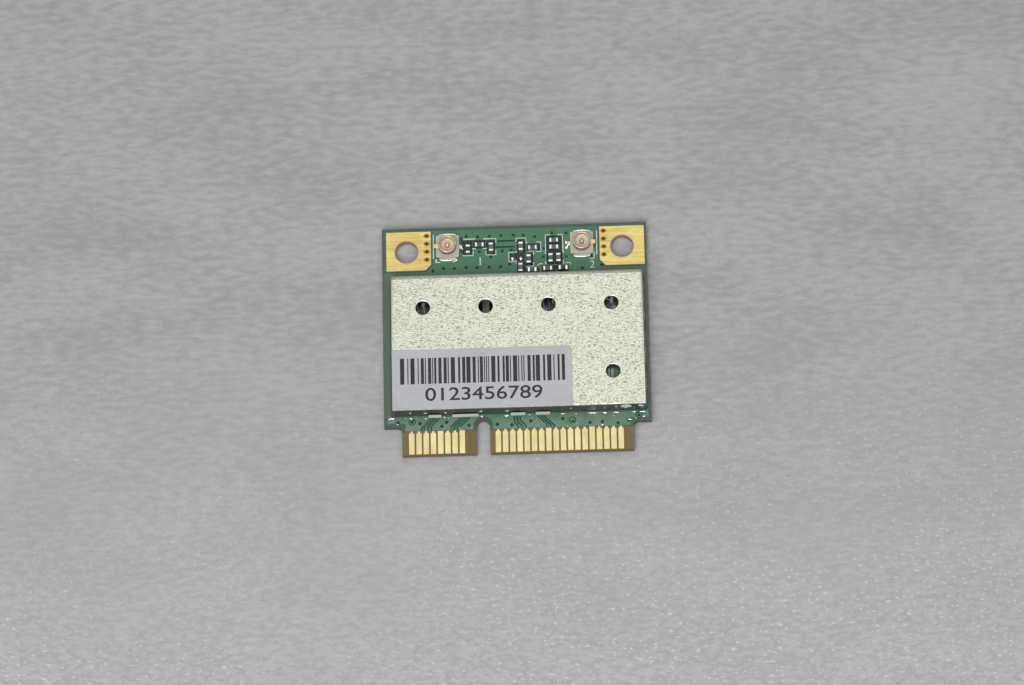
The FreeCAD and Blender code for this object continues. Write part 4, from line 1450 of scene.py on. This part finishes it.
    def _solder(self) -> None:
        """Runs and drops of solder along the four walls, and bulges painted white as highlights on
        the front wall.
        """
        metal, low, high = self.shop.solder, *corners("shield_can")
        front, back = low.y - self.front_gap, high.y + self.seam_gap
        walls = {-1: low.x - self.seam_gap, 1: high.x + self.seam_gap}
        runs = [((start, front), (end, front), radius) for start, end, radius in self.FRONT_RUNS]
        edges = [((walls[side], start), (walls[side], end), radius)
                 for side, start, end, radius in self.SIDE_RUNS]
        edges += [((start, back), (end, back), radius) for start, end, radius in self.BACK_RUNS]
        pieces = [bead((*start, BOARD_TOP), (*end, BOARD_TOP), radius, seed, material)
                  for rows, material in ((runs, metal), (edges, self.shop.seam))
                  for seed, (start, end, radius) in enumerate(rows)]
        pieces += [blob((x, y, BOARD_TOP), (wide, deep, self.drop_height), seed, metal)
                   for seed, (x, y, wide, deep) in enumerate(self.DROPS)]
        pieces += [blob((x, low.y, z), (wide, self.smear_depth, tall), seed, self.shop.smear)
                   for seed, (x, z, wide, tall) in enumerate(self.SMEARS)]
        hand_over(merge(pieces), "seam_solder", "solder", "shield_solder")

    def _label(self) -> None:
        """The film with one round corner, its bars and its plain digits."""
        low, high = corners("label")
        centre = ((low.x + high.x) / 2, (low.y + high.y) / 2, LID + self.film / 2)
        film = box(centre, (high.x - low.x, high.y - low.y, self.film))
        with chosen(film, lambda e: all(v.co.x > centre[0] and v.co.y > centre[1]
                                        for v in e.verts), "edges"):
            bpy.ops.mesh.bevel(offset=0.5, segments=6)
        soften(film, 0.015)
        hand_over(dress(film, self.shop.film), "label_sheet", "label_film", "label")
        hand_over(self._bars(), "label_bars", "label_film")
        digits = digits_on("0123456789", (-3.62, -7.76), 1.46, LID + self.film, 2 * self.ink,
                           self.shop.print, 1.24, 0.018)
        hand_over(digits, "label_digits", "label_film")

    def _bars(self) -> Piece:
        """Upright bars of one to four widths in an order that stands for nothing."""
        chance = random.Random(20)
        x, end = self.bar_span
        middle, tall = self.bar_row
        bars = []
        while x < end - self.bar_least:
            wide = min(self.bar_unit * chance.choice((1, 1, 2, 3, 3, 4)), end - x)
            bars.append(box((x + wide / 2, middle, LID + self.film + self.ink / 2),
                            (wide, tall, self.ink)))
            x += wide + self.bar_unit * chance.choice((1, 1, 2, 2, 2, 3))
        return dress(merge(bars), self.shop.print)


@dataclass
class CoveredChips:
    """The chips under the shield, which show only through vents and arches."""

    shop: Shop
    core_top: float = 2.3
    bar_height: float = 0.02

    CORE_BARS: tuple[tuple[str, Patch], ...] = (
        ("tin_mark", (10.18, 10.37, -5.9, -4.32)), ("tin_mark", (10.5, 10.77, -5.9, -4.32)),
        ("enamel", (10.86, 11.42, -5.9, -4.32)),
    )

    def build(self) -> None:
        """Give each of them its finish, and the coil below the front vent its windings."""
        finishes = {"compound": ("radio_chip", "memory_chip", "regulator", "front_end"),
                    "crystal": ("crystal",), "white": ("balun",), "ferrite": ("power_inductor",),
                    "capacitor": ("bypass",)}
        for name, node in bpy.data.objects.items():
            for finish, starts in finishes.items():
                if name.startswith(starts):
                    dress(node, self.shop.stock[finish])
        bars = [plate(patch, self.bar_height, self.shop.stock[finish], level=self.core_top)
                for finish, patch in self.CORE_BARS]
        hand_over(merge(bars), "core_bars", "ferrite")


@dataclass
class Studio:
    """Pale table, soft light and the camera at the photograph's angle."""

    shop: Shop
    focal_pixels: float = 4597.111
    frame_width: float = 1024.0
    turn: Colour = (-18.2943, -1.98476, 1.14935)
    offset: Colour = (0.488978, 0.198991, -513.7656)

    LAMPS: tuple[tuple[str, Colour, float, float], ...] = (
        ("key", (-0.1, -0.4, 0.56), 0.42, 2.8), ("fill", (0.07, 0.17, 0.6), 0.5, 0.62),
    )

    def build(self) -> None:
        """Set up the table, the lights and the camera."""
        bpy.ops.mesh.primitive_plane_add(size=3.0, location=(0.0, 0.0, -0.00002))
        table = bpy.context.object
        table.name = table.data.name = "table"
        dress(table, self.shop.table)
        self._camera()
        self._sky()
        for lamp in self.LAMPS:
            self._lamp(*lamp)

    def _camera(self) -> None:
        """The camera fitted to the photograph."""
        data = bpy.data.cameras.new("camera")
        data.sensor_fit = "HORIZONTAL"
        data.sensor_width = 36.0
        data.lens = self.focal_pixels / self.frame_width * data.sensor_width
        camera = added("camera", data)
        about_x, about_y, about_z = (Matrix.Rotation(math.radians(angle), 3, axis)
                                     for angle, axis in zip(self.turn, "XYZ"))
        back = (about_x @ about_y @ about_z).transposed()
        place = back @ -Vector(self.offset) * MM
        camera.matrix_world = Matrix.Translation(place) @ back.to_4x4()
        bpy.context.scene.camera = camera

    @staticmethod
    def _sky() -> None:
        """Light from all round that is stronger from above."""
        world = bpy.data.worlds.new("studio")
        world.use_nodes = True
        bpy.context.scene.world = world
        nodes, links = world.node_tree.nodes, world.node_tree.links
        where = nodes.new("ShaderNodeTexCoord")
        parts = nodes.new("ShaderNodeSeparateXYZ")
        ramp = nodes.new("ShaderNodeValToRGB")
        ramp.color_ramp.elements[0].position = 0.0
        ramp.color_ramp.elements[0].color = (0.08, 0.08, 0.083, 1.0)
        ramp.color_ramp.elements[1].position = 1.0
        ramp.color_ramp.elements[1].color = (0.86, 0.86, 0.87, 1.0)
        for position, level in ((0.5, 0.12), (0.8, 0.36)):
            stop = ramp.color_ramp.elements.new(position)
            stop.color = (level, level, level * 1.015, 1.0)
        links.new(where.outputs["Generated"], parts.inputs[0])
        links.new(parts.outputs[2], ramp.inputs[0])
        links.new(ramp.outputs[0], nodes["Background"].inputs[0])

    @staticmethod
    def _lamp(name: str, place: Colour, size: float, power: float) -> None:
        """A square soft box aimed at the card.

        Args:
            name: Name of the lamp.
            place: Where it hangs, in metres.
            size: Its side in metres.
            power: Its power in watts.
        """
        data = bpy.data.lights.new(name, "AREA")
        data.shape = "SQUARE"
        data.size = size
        data.energy = power
        lamp = added(name, data)
        lamp.location = place
        lamp.rotation_euler = (-Vector(place)).to_track_quat("-Z", "Y").to_euler()


def main() -> None:
    """Build the card's pieces in order and set the scene."""
    logging.basicConfig(level=logging.INFO, format="%(message)s")
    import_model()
    shop = Shop()
    Board(shop).build()
    MatchingChips(shop).build()
    CoaxialSocket(shop, 1, 1).build()
    CoaxialSocket(shop, 2, -1).build()
    GroundPads(shop).build()
    Shield(shop).build()
    CoveredChips(shop).build()
    Studio(shop).build()
    bpy.context.scene.view_settings.view_transform = "Standard"


if __name__ == "__main__":
    main()
